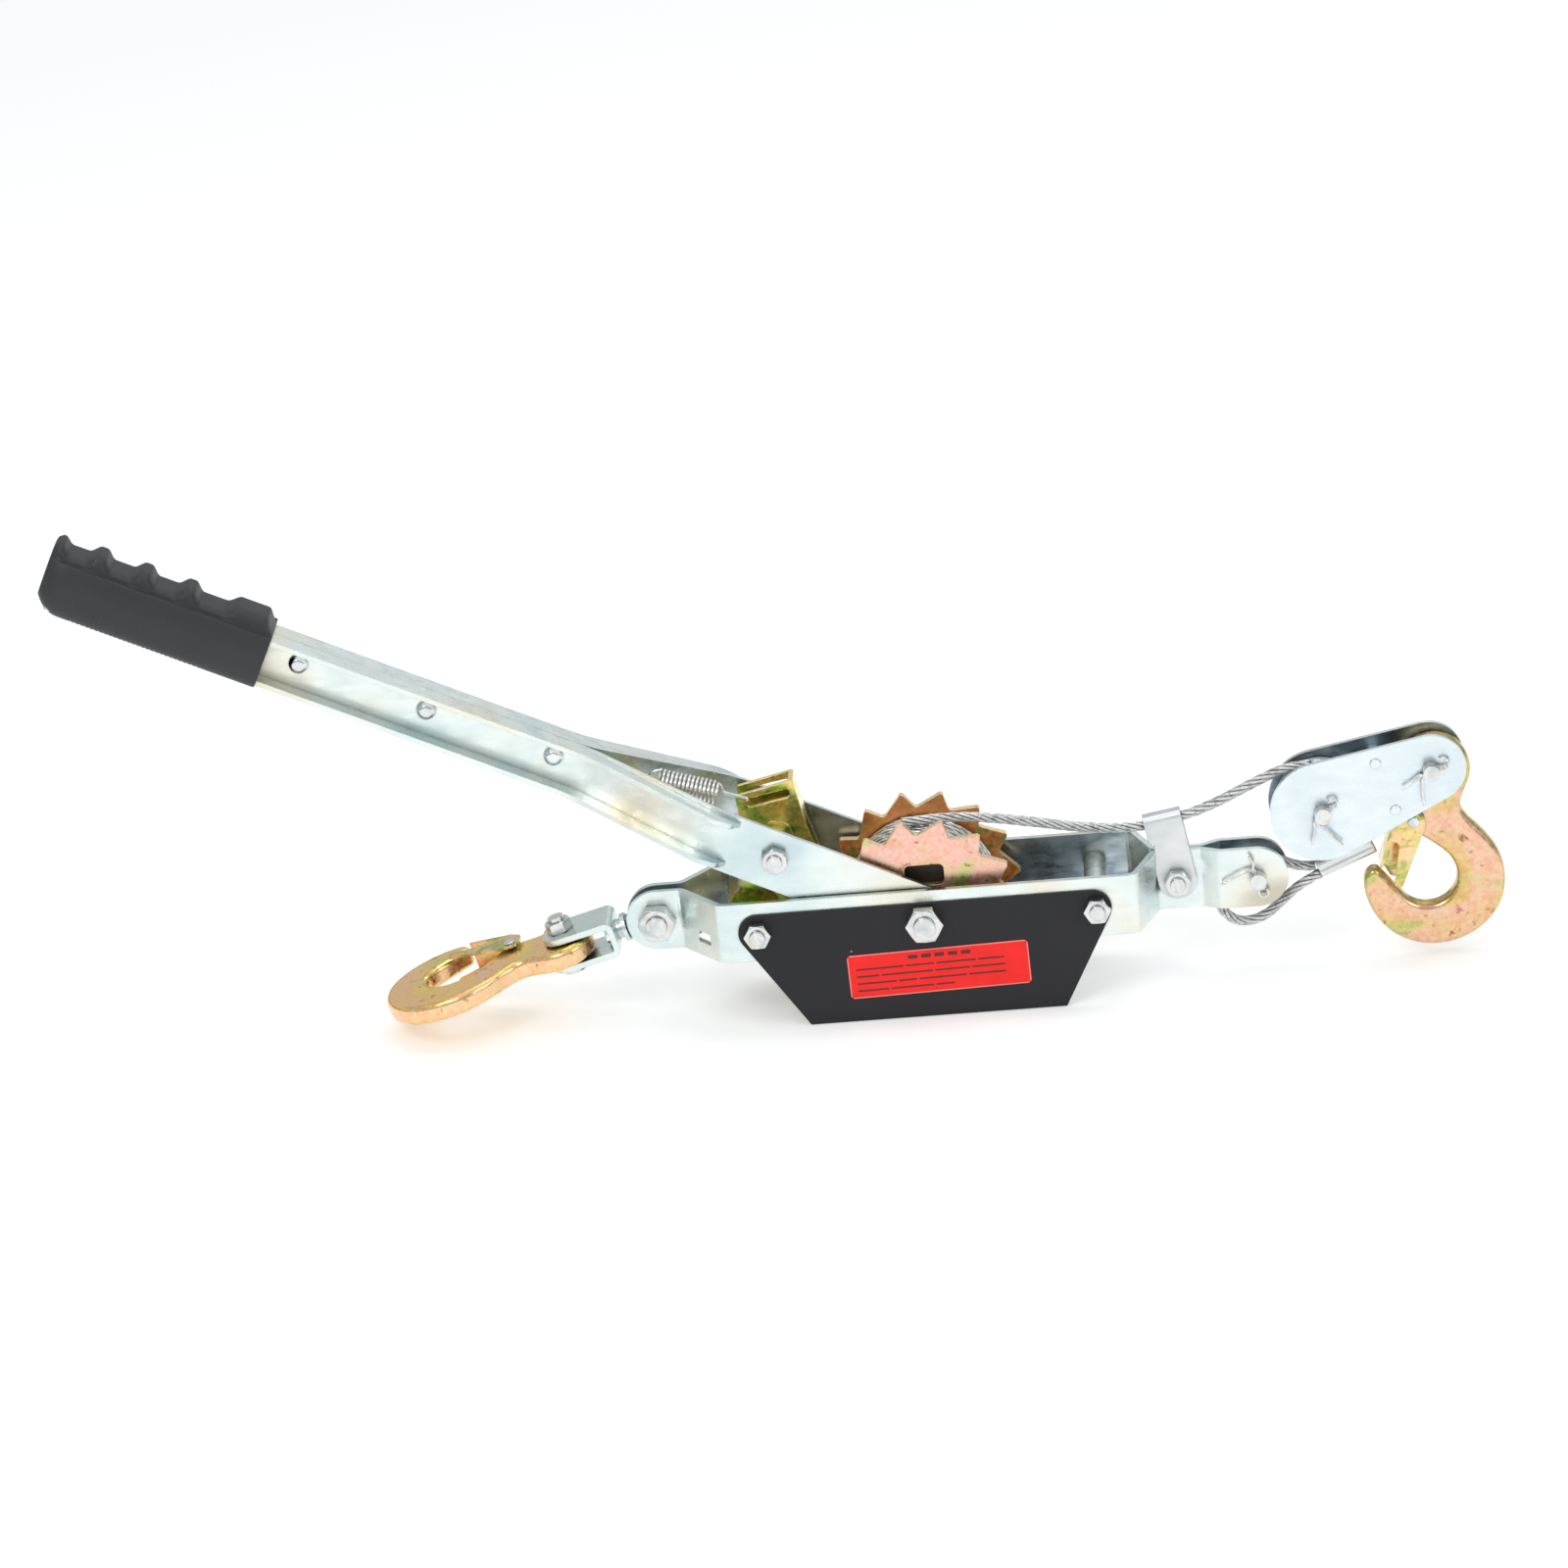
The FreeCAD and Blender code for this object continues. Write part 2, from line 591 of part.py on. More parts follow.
def lever_half(name, side):
    sheet_size = size("lever_sheet")
    web = size("web_gap")
    fork = size("fork_inner")
    end = -size("lever_end")
    root = -size("fork_root")
    mouth = -size("fork_open")
    low = -size("channel_low")
    high = size("channel_high")
    reach = size("flange_reach")
    bend = size("fork_bend")
    face = [(end, web), (root, web), (mouth, fork), (16, fork)]
    web_corners = strip(face, sheet_size, bend)
    flange_corners = [(end, web, 0), (root, web, bend + sheet_size), (mouth, fork, bend),
                      (-99, fork, 0), (-99, fork + sheet_size, 2), (-104, fork + sheet_size + 7, 6),
                      (-113, fork + sheet_size + 8.5, 12), (root - 4, reach, 50), (end, reach, 2)]
    if side < 0:
        web_corners = mirrored(web_corners)
        flange_corners = mirrored(flange_corners)
    height = "channel_low + channel_high"
    bent = extrude(name + "_bent", "top", rounded(web_corners), "-20", "40")
    fork_end = size("strap_height / 2")
    outline = [(end, low, 0), (end, high, 0), (root, high, 60), (-100, high + 2.2, 60),
               (fork_end, fork_end, fork_end - 0.1), (fork_end, -fork_end, fork_end - 0.1),
               (-100, low - 3.2, 60), (root, low, 60)]
    holes = [(0, 0, "main_radius + running_gap"),
             (-size("pawl_reach"), size("pawl_rise"), "small_radius")]
    for index in range(3):
        holes.append((-size("rivet_first") - index * size("rivet_step"), size("rivet_rise"), "3"))
    outline_side = extrude(name + "_side", "side", rounded(outline), "60", "120", holes)
    panel = common(name + "_panel", [bent, outline_side])
    flanges = []
    for place, start in (("top", "channel_high - lever_sheet"), ("bottom", "0 - channel_low")):
        flanges.append(extrude(name + "_" + place, "top", rounded(flange_corners), start,
                               "lever_sheet"))
    return joined(name, [panel] + flanges)


node("lever_half_near", lever_half("lever_half_near", -1), lever)
node("lever_half_far", lever_half("lever_half_far", 1), lever)


def lever_rivet(index):
    """A rivet with a domed head on each face of the two webs."""
    face = size("web_gap + lever_sheet")
    crown = face + 3.2
    side = [(0, -crown, 0), (2.6, -crown, 2.2), (4.6, -face - 1.6, 1.6), (5, -face, 0),
            (3, -face, 0)]
    section = side + [(x, -y, turn) for x, y, turn in reversed(side)]
    piece = turned("lever_rivet_%d" % index, rounded(section))
    x = -size("rivet_first") - index * size("rivet_step")
    piece.Placement = Placement(Vector(x, 0, size("rivet_rise")), Rotation())
    return piece


node("lever_rivets", joined("lever_rivets", [lever_rivet(index) for index in range(3)]), lever)


def grip():
    """A rubber sleeve with five finger ridges along its top."""
    start = -size("grip_start")
    end = -size("grip_end")
    crest = 23.0
    dip = 18.0
    corners = [(start, -13.5, 3), (start, 19, 2), (start - 6, crest, 4), (start - 18, crest + 0.5, 4),
               (start - 25, dip + 0.5, 5)]
    for ridge in range(4):
        peak = start - 43 - ridge * 22.4
        corners.append((peak + 10, dip, 5))
        corners.append((peak + 2.2, crest, 3))
        corners.append((peak - 2.2, crest, 3))
        if ridge < 3:
            corners.append((peak - 9, dip, 5))
    corners.append((end, 17, 3))
    corners.append((end, -13.5, 8))
    body = extrude("grip_body", "side", rounded(corners), "grip_half", "2 * grip_half")
    half = size("grip_half")
    section = [(-half, -13.5, 9), (half, -13.5, 9), (half, 15, 5), (11, 24.5, 5), (-11, 24.5, 5),
               (-half, 15, 5)]
    hull = extrude("grip_hull", "end", rounded(section), "0 - grip_end - 5", "120")
    outer = common("grip_outer", [body, hull])
    hollow = add("Part::Box", "grip_hollow")
    bind(hollow, "Length", "lever_end - grip_start + 10")
    bind(hollow, "Width", "2 * flange_reach")
    bind(hollow, "Height", "channel_low + channel_high")
    hollow.Placement = Placement(Vector(-size("lever_end"), -size("flange_reach"),
                                        -size("channel_low")), Rotation())
    return minus("grip", outer, hollow)


node("grip", grip(), lever)
fork_face = "(fork_inner + lever_sheet)"
pawl_x = -size("pawl_reach")
pawl_z = size("pawl_rise")
node("lever_pawl_bolt", bolt("lever_pawl_bolt", "small_radius", "small_flats", "4.5", fork_face,
                             tip % (fork_face, "small_nut"), pawl_x, pawl_z), lever)
node("lever_pawl_nut", nut("lever_pawl_nut", "small_radius", "small_flats", "small_nut",
                           "0 - " + fork_face, pawl_x, pawl_z), lever)


# ---- pawls: stamped plates that swing on their bolts, resting just clear of the teeth

def drive_pawl():
    radius = size("small_radius + running_gap")
    bore = [(0, 0, "small_radius + running_gap")]
    cheek = [(-18.2, 21.8, 1.5), (-16.8, 8.5, 3), (-11, -7, 9), (6, -20, 10), (16.5, -25, 2),
             (21.5, -19, 2), (14.8, 4.2, 3), (10.3, 28.1, 1.5)]
    slot = [(-13.6, 15.2, 2), (8.2, 19.2, 2), (8.6, 24.2, 2), (-13.2, 20.4, 2)]
    pieces = []
    for name, start in (("near", "5.5"), ("far", "19")):
        plate = extrude("drive_cheek_" + name, "side", rounded(cheek), start, "2.5", bore)
        opening = extrude("drive_slot_" + name, "side", rounded(slot), start + " + 1", "4.5")
        pieces.append(minus("drive_plate_" + name, plate, opening))
    flange = [(8.0, 27.6, 0), (10.3, 28.1, 0.5), (14.8, 4.2, 0.5), (12.4, 3.7, 0)]
    pieces.append(extrude("drive_flange", "side", rounded(flange), "18", "15"))
    pieces.append(plain_ring("drive_boss", str(radius), "8", "1.6", "16.5"))
    pieces.append(plain_ring("drive_hub", str(radius), "5.5", "0 - fork_inner + 0.5",
                             "fork_inner - 0.5"))
    tongue = [(9.5, -19.5, 1), (16.5, -25, 1), (21.5, -19, 1), (15, -13.5, 1)]
    pieces.append(extrude("drive_tongue", "side", rounded(tongue), "21.5", "43"))
    return joined("drive_pawl", pieces)


def hold_pawl():
    bore = [(0, 0, "small_radius + running_gap")]
    cheek = [(-14.5, 9.5, 1.5), (-15, 0, 3), (-8, -9, 7), (10, -12, 10), (30, -16.5, 1.5),
             (34, -12.6, 1.5), (14, 2, 10), (6, 22, 2), (-4, 23, 2)]
    pieces = []
    for name, start in (("near", "0 - 15"), ("far", "17.5")):
        pieces.append(extrude("hold_cheek_" + name, "side", rounded(cheek), start, "2.5", bore))
    web = [(-14.5, 9.5, 0), (-4, 23, 3.5), (6, 22, 0), (5.8, 19.4, 0), (-2.8, 20.3, 1), (-12.6, 8.0, 0)]
    pieces.append(extrude("hold_web", "side", rounded(web), "17.5", "35"))
    pieces.append(plain_ring("hold_hub", "small_radius + running_gap", "5.5", "0 - strap_inner + 0.5",
                             "strap_inner - 0.5"))
    tongue = [(24, -15.2, 1), (30, -16.5, 1), (34, -12.6, 1), (27, -7.4, 1)]
    pieces.append(extrude("hold_tongue", "side", rounded(tongue), "21.5", "43"))
    return joined("hold_pawl", pieces)


node("drive_pawl", drive_pawl(), drive)
node("hold_pawl", hold_pawl(), hold)


def tension_spring():
    """The coil's outer size as a thin tube, with a hook at each end."""
    inner = 5.4
    outer = 6.6
    length = 30.5
    coil = Part.makeCylinder(outer, length, Vector(), Vector(1, 0, 0))
    coil = coil.cut(Part.makeCylinder(inner, length, Vector(), Vector(1, 0, 0)))
    rear_hook = tube("spring_rear_hook", [(0.5, outer - 0.6), (-2.5, outer - 1.5), (-4.2, 2.5),
                                          (-4.0, -1.5)], 1.2)
    front_hook = tube("spring_front_hook", [(length - 0.5, outer - 0.6), (length + 2, outer - 3.5),
                                            (length + 4, 1.5), (length + 14.6, 1.2)], 1.2)
    shape = Part.makeCompound([coil.fuse([rear_hook, front_hook])])
    return shaped("tension_spring", shape)


spring_spot = Placement(Vector(-142.0, 2.3, 8.2), Rotation(upright, -7.8))
node("tension_spring", tension_spring(), lever * spring_spot)


# ---- pulley block

def block_plate(name, side):
    """Two circles joined by their outer tangents, round the sheave and hook pins."""
    big = size("block_big")
    small = size("block_small")
    span = size("pin_distance")
    lean = math.acos((big - small) / span)
    first = Vector(big * math.cos(lean), big * math.sin(lean), 0)
    second = Vector(span + small * math.cos(lean), small * math.sin(lean), 0)
    third = Vector(second.x, -second.y, 0)
    fourth = Vector(first.x, -first.y, 0)
    edges = [Part.LineSegment(first, second),
             Part.Arc(second, Vector(span + small, 0, 0), third),
             Part.LineSegment(third, fourth),
             Part.Arc(fourth, Vector(-big, 0, 0), first)]
    start = "0 - block_inner" if side < 0 else "block_inner + block_sheet"
    holes = [(0, 0, "pin_radius"), (span, 0, "pin_radius")]
    for rise in (-13, 13):
        holes.append((32.5, rise, "2.6"))
    return body_plate(name, edges, start, "block_sheet", holes)


node("block_plate_near", block_plate("block_plate_near", -1), block)
node("block_plate_far", block_plate("block_plate_far", 1), block)


def block_spacer(name, rise):
    """A stepped rivet that keeps the block's plates apart."""
    face = size("block_inner")
    end = face + size("block_sheet") + 0.7
    half = [(0, -end, 0), (2.6, -end, 0.5), (2.6, -face, 0), (3.3, -face, 0), (3.3, face, 0),
            (2.6, face, 0), (2.6, end, 0.5), (0, end, 0)]
    piece = turned(name, rounded(half))
    piece.Placement = Placement(Vector(32.5, 0, rise), Rotation())
    return piece


node("block_spacers", joined("block_spacers", [block_spacer("block_spacer_low", -13),
                                               block_spacer("block_spacer_high", 13)]), block)


def sheave():
    bore = size("pin_radius + running_gap")
    rim = size("sheave_radius")
    base = size("sheave_groove")
    half = size("sheave_half")
    section = [(bore, -half, 0.5), (rim, -half, 0.8), (rim, -5.4, 0.5), (base, -2.2, 2),
               (base, 2.2, 2), (rim, 5.4, 0.5), (rim, half, 0.8), (bore, half, 0.5)]
    return turned("sheave", rounded(section))


node("sheave", sheave(), block)
block_face = "(block_inner + block_sheet + 0.1)"
second_pin = Placement(Vector(size("pin_distance"), 0, 0), Rotation())
COTTER_LEGS = {
    "sheave": (46, ([(-4.5, -9), (-6, -15)], [(2.5, -9.5), (8.5, -16.5)])),
    "hook": (28, ([(-9, -5), (-14, -8)], [(-4.8, -9), (-4.2, -17)])),
}
for label_name, place in (("sheave", Placement()), ("hook", second_pin)):
    eye_angle, legs = COTTER_LEGS[label_name]
    spot = Placement((block * place).Base, Rotation())
    turn = Rotation(upright, 90 - eye_angle)
    node(label_name + "_pin", headed_pin(label_name + "_pin", block_face),
         spot * Placement(Vector(), turn))
    node(label_name + "_cotter", cotter(label_name + "_cotter", block_face, eye_angle, legs), spot)


# ---- hooks: a forged eye hook with a sprung latch, used at both ends

BOWL = Vector(-4.2, -58, 0)
BOWL_RADIUS = 14.9
HOOK_ROUND = 3.0
LATCH_PIN = (-9.4, -27.8)


def ring_points(centre, radius, angles):
    """Points on a circle at the given angles in degrees."""
    return [(centre.x + radius * math.cos(math.radians(angle)),
             centre.y + radius * math.sin(math.radians(angle))) for angle in angles]


def smooth(points):
    """A closed outline of tangent arcs that follows a ring of points."""
    corners = []
    count = len(points)
    for index in range(count):
        corner = Vector(*points[index], 0)
        back = Vector(*points[index - 1], 0) - corner
        ahead = Vector(*points[(index + 1) % count], 0) - corner
        reach = 0.48 * min(back.Length, ahead.Length)
        corners.append((corner.x, corner.y, reach * math.tan(back.getAngle(ahead) / 2)))
    return rounded(corners)


def hook(name):
    """One smooth outline: over the eye, down the back, round the tip and up the bowl."""
    points = ring_points(Vector(1.8, -3.0), size("hook_eye") - 0.7,
                         (197, 178, 157, 131, 105, 79, 53, 27, 1, -22))
    points += [(14.4, -17.6), (13.2, -23.5), (17.0, -29.8), (23.9, -37.2), (30.9, -47.2),
               (33.5, -58.5), (32.2, -71), (26.3, -81.6), (16.5, -89.6), (3.8, -93.9),
               (-9.7, -93.2), (-22.2, -87), (-30.7, -76.5), (-34.9, -64), (-34.5, -54.6),
               (-28.7, -50.6), (-23.5, -57.4)]
    points += ring_points(BOWL, BOWL_RADIUS, (205, 232, 259, 286, 313, 340, 8))
    points += [(7.8, -48.6), (1.8, -42.5), (-5.6, -37.2), (-11.8, -31.8), (-14.2, -24.5),
               (-14.0, -17.4)]
    blank = extrude(name + "_blank", "side", smooth(points), "hook_sheet / 2", "hook_sheet")
    doc.recompute()
    rims = []
    for number, edge in enumerate(blank.Shape.Edges, start=1):
        if edge.BoundBox.YLength < 0.001:
            rims.append((number, HOOK_ROUND, HOOK_ROUND))
    forged = add("Part::Fillet", name + "_forged")
    forged.Base = blank
    forged.Edges = rims
    eye_bore = rod(name + "_bore", "pin_radius + running_gap", "10", "20")
    rivet_bore = rod(name + "_rivet_bore", "1.8", "10", "20", *LATCH_PIN)
    return minus(name, forged, joined(name + "_bores", [eye_bore, rivet_bore]))


def latch(name):
    """A sprung channel that closes the hook's throat from inside the tip."""
    inner = size("latch_inner")
    sheet_size = size("latch_sheet")
    x, z = LATCH_PIN
    # the near leg is a narrow arm, and the far one is as wide as the tongue
    top = [(x - 5.4, z + 5.4, 5), (x + 5.2, z + 5.2, 5), (x + 5.4, z - 3, 3)]
    legs = {"near": top + [(-16.7, -61.3, 1), (-20.4, -60.2, 1), (-16.6, -38.5, 2.5),
                           (-22.4, -36.2, 0.8), (-19.9, -27.9, 1)],
            "far": top + [(-16.7, -61.3, 1), (-21.4, -60.0, 1), (-26.6, -50.1, 1),
                          (-19.9, -27.9, 1)]}
    pieces = []
    for side, start in (("near", "0 - latch_inner"), ("far", "latch_inner + latch_sheet")):
        pieces.append(extrude(name + "_leg_" + side, "side", rounded(legs[side]), start, "latch_sheet",
                              [(x, z, "1.8 + running_gap")]))
    web = [(-19.9, -27.9, 0), (-18.7, -28.2, 0), (-25.4, -50.4, 0), (-26.6, -50.1, 0)]
    pieces.append(extrude(name + "_web", "side", rounded(web), str(inner + sheet_size),
                          str(2 * (inner + sheet_size))))
    return joined(name, pieces)


def latch_rivet(name):
    end = size("latch_inner + latch_sheet")
    x, z = LATCH_PIN
    half = [(0, -end - 1, 0.4), (2.9, -end - 1, 0.8), (2.9, -end - 0.05, 0), (1.8, -end - 0.05, 0),
            (1.8, end + 0.05, 0), (2.9, end + 0.05, 0), (2.9, end + 1, 0.8), (0, end + 1, 0.4)]
    half = [(radius, along, 0 if radius == 0 else turn) for radius, along, turn in half]
    piece = turned(name, rounded(half))
    piece.Placement = Placement(Vector(x, 0, z), Rotation())
    return piece


for label_name, spot in (("block", block_eye), ("rear", rear_eye)):
    node(label_name + "_hook", hook(label_name + "_hook"), spot)
    node(label_name + "_latch", latch(label_name + "_latch"), spot)
    node(label_name + "_latch_rivet", latch_rivet(label_name + "_latch_rivet"), spot)


# ---- rear swivel

def swivel_eye():
    """An eye between the rear ears, with a round shank that ends in a button head."""
    gap = size("ear_gap") - 0.6
    clear = size("strap_height / 2") + 0.6
    base_face = size("yoke_base + yoke_sheet")
    eye_plate = extrude("swivel_plate", "side", rounded([(-clear, -5, 0), (11, -11, 10.9), (11, 11, 10.9),
                        (-clear, 5, 0)]), str(gap / 2), str(gap), [(0, 0, "main_radius + running_gap")])
    shank = add("Part::Cylinder", "swivel_shank")
    shank.Radius = size("shank_radius") - 0.05
    shank.Height = base_face + 0.5 - clear + 0.5
    shank.Placement = Placement(Vector(-clear + 0.5 - 0.5, 0, 0), Rotation(Vector(0, 1, 0), -90))
    head = add("Part::Cylinder", "swivel_head")
    head.Radius = 5.4
    head.Height = 2.6
    head.Placement = Placement(Vector(-base_face - 0.35, 0, 0), Rotation(Vector(0, 1, 0), -90))
    collar = add("Part::Cylinder", "swivel_collar")
    collar.Radius = 7
    collar.Height = 2.2
    collar.Placement = Placement(Vector(-clear, 0, 0), Rotation(Vector(0, 1, 0), -90))
    return joined("swivel_eye", [eye_plate, shank, head, collar])


def swivel_yoke():
    half = size("yoke_gap / 2")
    sheet_size = size("yoke_sheet")
    base = -size("yoke_base")
    end = -size("yoke_pin") - 9
    inside = base - sheet_size
    arch = [(end, -half, 0), (inside, -half, 0.8), (inside, half, 0.8), (end, half, 0),
            (end, half + sheet_size, 0), (base, half + sheet_size, 3.8),
            (base, -half - sheet_size, 3.8), (end, -half - sheet_size, 0)]
    width = size("yoke_width")
    bent = extrude("yoke_bent", "side", rounded(arch), "yoke_width / 2", "yoke_width")
    plan = [(end, -width / 2, width / 2 - 3), (base + 1, -width / 2, 1), (base + 1, width / 2, 1),
            (end, width / 2, width / 2 - 3)]
    trimmed = extrude("yoke_plan", "top", rounded(plan), "-15", "30",
                      [(-size("yoke_pin"), 0, "pin_radius")])
    whole = common("yoke_whole", [bent, trimmed])
    bore = add("Part::Cylinder", "yoke_bore")
    bore.Radius = size("shank_radius")
    bore.Height = 10
    bore.Placement = Placement(Vector(base + 2, 0, 0), Rotation(Vector(0, 1, 0), -90))
    return minus("swivel_yoke", whole, bore)


node("swivel_eye", swivel_eye(), swivel)
node("swivel_yoke", swivel_yoke(), yoke)
yoke_face = "(yoke_gap / 2 + yoke_sheet)"
stand_up = yoke * Placement(Vector(-size("yoke_pin"), 0, 0), Rotation(Vector(1, 0, 0), -90))
node("yoke_bolt", bolt("yoke_bolt", "pin_radius", "small_flats", "4", yoke_face,
                       tip % (yoke_face, "small_nut")), stand_up)
node("yoke_nut", nut("yoke_nut", "pin_radius", "small_flats", "small_nut", "0 - " + yoke_face),
     stand_up)

# ---- check every object, then write one file for each sub-part
doc.recompute()
for item in doc.Objects:
    if "Invalid" in item.State or "Error" in item.State:
        raise RuntimeError("%s failed: %s" % (item.Name, item.State))
for piece in nodes:
    if piece.Shape.isNull() or not piece.Shape.isValid() or not piece.Shape.Solids:
        raise RuntimeError(piece.Label + " has no valid solid")
os.makedirs("parts", exist_ok=True)
for piece in nodes:
    piece.Shape.exportStep("parts/%s.step" % piece.Label)
print("%d sub-parts written" % len(nodes))
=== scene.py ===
import json
import math

import bpy
from mathutils import Matrix, Vector

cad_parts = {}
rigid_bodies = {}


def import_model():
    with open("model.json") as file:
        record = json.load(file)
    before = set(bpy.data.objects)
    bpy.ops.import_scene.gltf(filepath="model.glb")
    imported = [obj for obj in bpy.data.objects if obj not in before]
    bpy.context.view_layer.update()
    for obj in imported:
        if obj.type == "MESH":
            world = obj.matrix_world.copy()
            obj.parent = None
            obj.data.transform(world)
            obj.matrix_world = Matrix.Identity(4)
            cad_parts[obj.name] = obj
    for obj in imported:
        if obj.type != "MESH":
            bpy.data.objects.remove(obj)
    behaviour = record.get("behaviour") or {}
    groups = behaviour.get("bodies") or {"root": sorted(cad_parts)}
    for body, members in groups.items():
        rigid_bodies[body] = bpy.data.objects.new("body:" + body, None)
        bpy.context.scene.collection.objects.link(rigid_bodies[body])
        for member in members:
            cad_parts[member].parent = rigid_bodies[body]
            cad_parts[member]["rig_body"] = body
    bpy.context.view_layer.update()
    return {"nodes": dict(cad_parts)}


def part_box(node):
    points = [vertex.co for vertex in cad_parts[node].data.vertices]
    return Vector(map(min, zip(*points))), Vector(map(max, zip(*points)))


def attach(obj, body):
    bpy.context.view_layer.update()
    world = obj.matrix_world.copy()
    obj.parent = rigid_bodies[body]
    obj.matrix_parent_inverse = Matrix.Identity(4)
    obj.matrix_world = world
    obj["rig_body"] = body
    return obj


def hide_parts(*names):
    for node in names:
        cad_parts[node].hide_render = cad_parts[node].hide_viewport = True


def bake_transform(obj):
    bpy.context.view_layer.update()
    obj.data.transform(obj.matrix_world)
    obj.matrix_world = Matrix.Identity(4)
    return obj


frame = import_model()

MM = 0.001
NODES = frame["nodes"]


def middle(node):
    low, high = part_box(node)
    return (low + high) / 2


# The winch frame: the drum's axle is the origin, +X runs to the block.
AXLE = Vector((middle("main_nut").x, middle("drum_core").y, middle("main_nut").z))


def spot(x, y, z):
    """A point of the winch frame, given in millimetres, in the row frame."""
    return AXLE + Vector((x, y, z)) * MM


LEVER = Matrix.Translation(AXLE) @ Matrix.Rotation(math.radians(26), 4, "Y")

# ---- camera

AZIMUTH, ELEVATION, ROLL = math.radians(3.8), math.radians(21.06), math.radians(5.76)
DISTANCE = 2.8
LENS, SENSOR = 132.8625, 36             # mm
AIM_LEFT, AIM_UP = 0.0664793, 0.0356579  # from the point 20 mm above the axle, in metres
ahead = Vector((-math.sin(AZIMUTH) * math.cos(ELEVATION), math.cos(AZIMUTH) * math.cos(ELEVATION),
                -math.sin(ELEVATION)))
right = Vector((math.cos(AZIMUTH), math.sin(AZIMUTH), 0))
up = right.cross(ahead)
picture_right = right * math.cos(ROLL) - up * math.sin(ROLL)
picture_up = right * math.sin(ROLL) + up * math.cos(ROLL)
aim = spot(0, 0, 20) - picture_right * AIM_LEFT + picture_up * AIM_UP
camera = bpy.data.objects.new("camera", bpy.data.cameras.new("camera"))
bpy.context.scene.collection.objects.link(camera)
camera.data.sensor_width = SENSOR
camera.data.lens = LENS
camera.data.clip_end = 50
camera.matrix_world = Matrix.Translation(aim - ahead * DISTANCE) @ Matrix(
    (picture_right, picture_up, -ahead)).transposed().to_4x4()
bpy.context.scene.camera = camera


# ---- materials

def material(name, metallic=0.0, roughness=0.5):
    """A new material, its node tree and its main shader."""
    made = bpy.data.materials.new(name)
    made.use_nodes = True
    shader = made.node_tree.nodes["Principled BSDF"]
    shader.inputs["Metallic"].default_value = metallic
    shader.inputs["Roughness"].default_value = roughness
    return made, made.node_tree, shader


def add(tree, kind, **inputs):
    """A shader node with some of its sockets set."""
    node = tree.nodes.new(kind)
    for name, value in inputs.items():
        node.inputs[name.replace("_", " ")].default_value = value
    return node


def noise(tree, scale, detail=3.0, stretch=(1, 1, 1), distortion=0.0):
    """Noise in object space; returns its factor."""
    place = tree.nodes.new("ShaderNodeTexCoord")
    mapping = tree.nodes.new("ShaderNodeMapping")
    mapping.inputs["Scale"].default_value = stretch
    tree.links.new(place.outputs["Object"], mapping.inputs["Vector"])
    node = add(tree, "ShaderNodeTexNoise", Scale=scale, Detail=detail, Distortion=distortion)
    tree.links.new(mapping.outputs["Vector"], node.inputs["Vector"])
    return node.outputs["Fac"]


def ramp(tree, factor, stops):
    """The factor looked up in a row of (place, colour) stops."""
    node = tree.nodes.new("ShaderNodeValToRGB")
    elements = node.color_ramp.elements
    while len(elements) < len(stops):
        elements.new(0.5)
    for element, (place, colour) in zip(elements, stops):
        element.position = place
        element.color = (*colour, 1)
    tree.links.new(factor, node.inputs["Fac"])
    return node.outputs["Color"]


def blend_colours(tree, factor, first, second, kind="MIX"):
    """Two colours mixed; factor and colours are sockets or plain values."""
    node = tree.nodes.new("ShaderNodeMix")
    node.data_type = "RGBA"
    node.blend_type = kind
    for socket, value in (("Factor", factor), ("A", first), ("B", second)):
        target = [s for s in node.inputs if s.name == socket and s.enabled][0]
        if isinstance(value, bpy.types.NodeSocket):
            tree.links.new(value, target)
        else:
            target.default_value = value
    return [s for s in node.outputs if s.enabled][0]


def bump(tree, shader, height, strength, distance, rounded=0.0):
    """Fine relief from a height socket, over edges rounded to a radius in metres."""
    node = add(tree, "ShaderNodeBump", Strength=strength, Distance=distance)
    tree.links.new(height, node.inputs["Height"])
    if rounded:
        bevel = add(tree, "ShaderNodeBevel", Radius=rounded)
        bevel.samples = 4
        tree.links.new(bevel.outputs["Normal"], node.inputs["Normal"])
    tree.links.new(node.outputs["Normal"], shader.inputs["Normal"])


def painted_crevice_shade(tree, colour, depth=0.35, reach=0.0035):
    """The colour again with painted shade: darker where surfaces meet closely, in crevices and
    between parts.
    """
    near = add(tree, "ShaderNodeAmbientOcclusion", Distance=reach)
    near.samples = 6
    shade = ramp(tree, near.outputs["AO"], [(0.15, (depth,) * 3), (0.75, (1, 1, 1))])
    return blend_colours(tree, 1.0, colour, shade, "MULTIPLY")


def normal_part(tree, axis):
    """The object-space normal's part along an axis."""
    place = tree.nodes.new("ShaderNodeTexCoord")
    split = tree.nodes.new("ShaderNodeSeparateXYZ")
    tree.links.new(place.outputs["Normal"], split.inputs["Vector"])
    return split.outputs[axis]


def spread(tree, value, low, high):
    """0 where the value is low, rising to 1 where it is high."""
    node = add(tree, "ShaderNodeMapRange", From_Min=low, From_Max=high)
    tree.links.new(value, node.inputs["Value"])
    return node.outputs["Result"]


def edges(tree, axis):
    """0 on faces that look along the axis, rising to 1 on the edges between them."""
    size = tree.nodes.new("ShaderNodeMath")
    size.operation = "ABSOLUTE"
    tree.links.new(normal_part(tree, axis), size.inputs[0])
    return spread(tree, size.outputs["Value"], 0.85, 0.30)


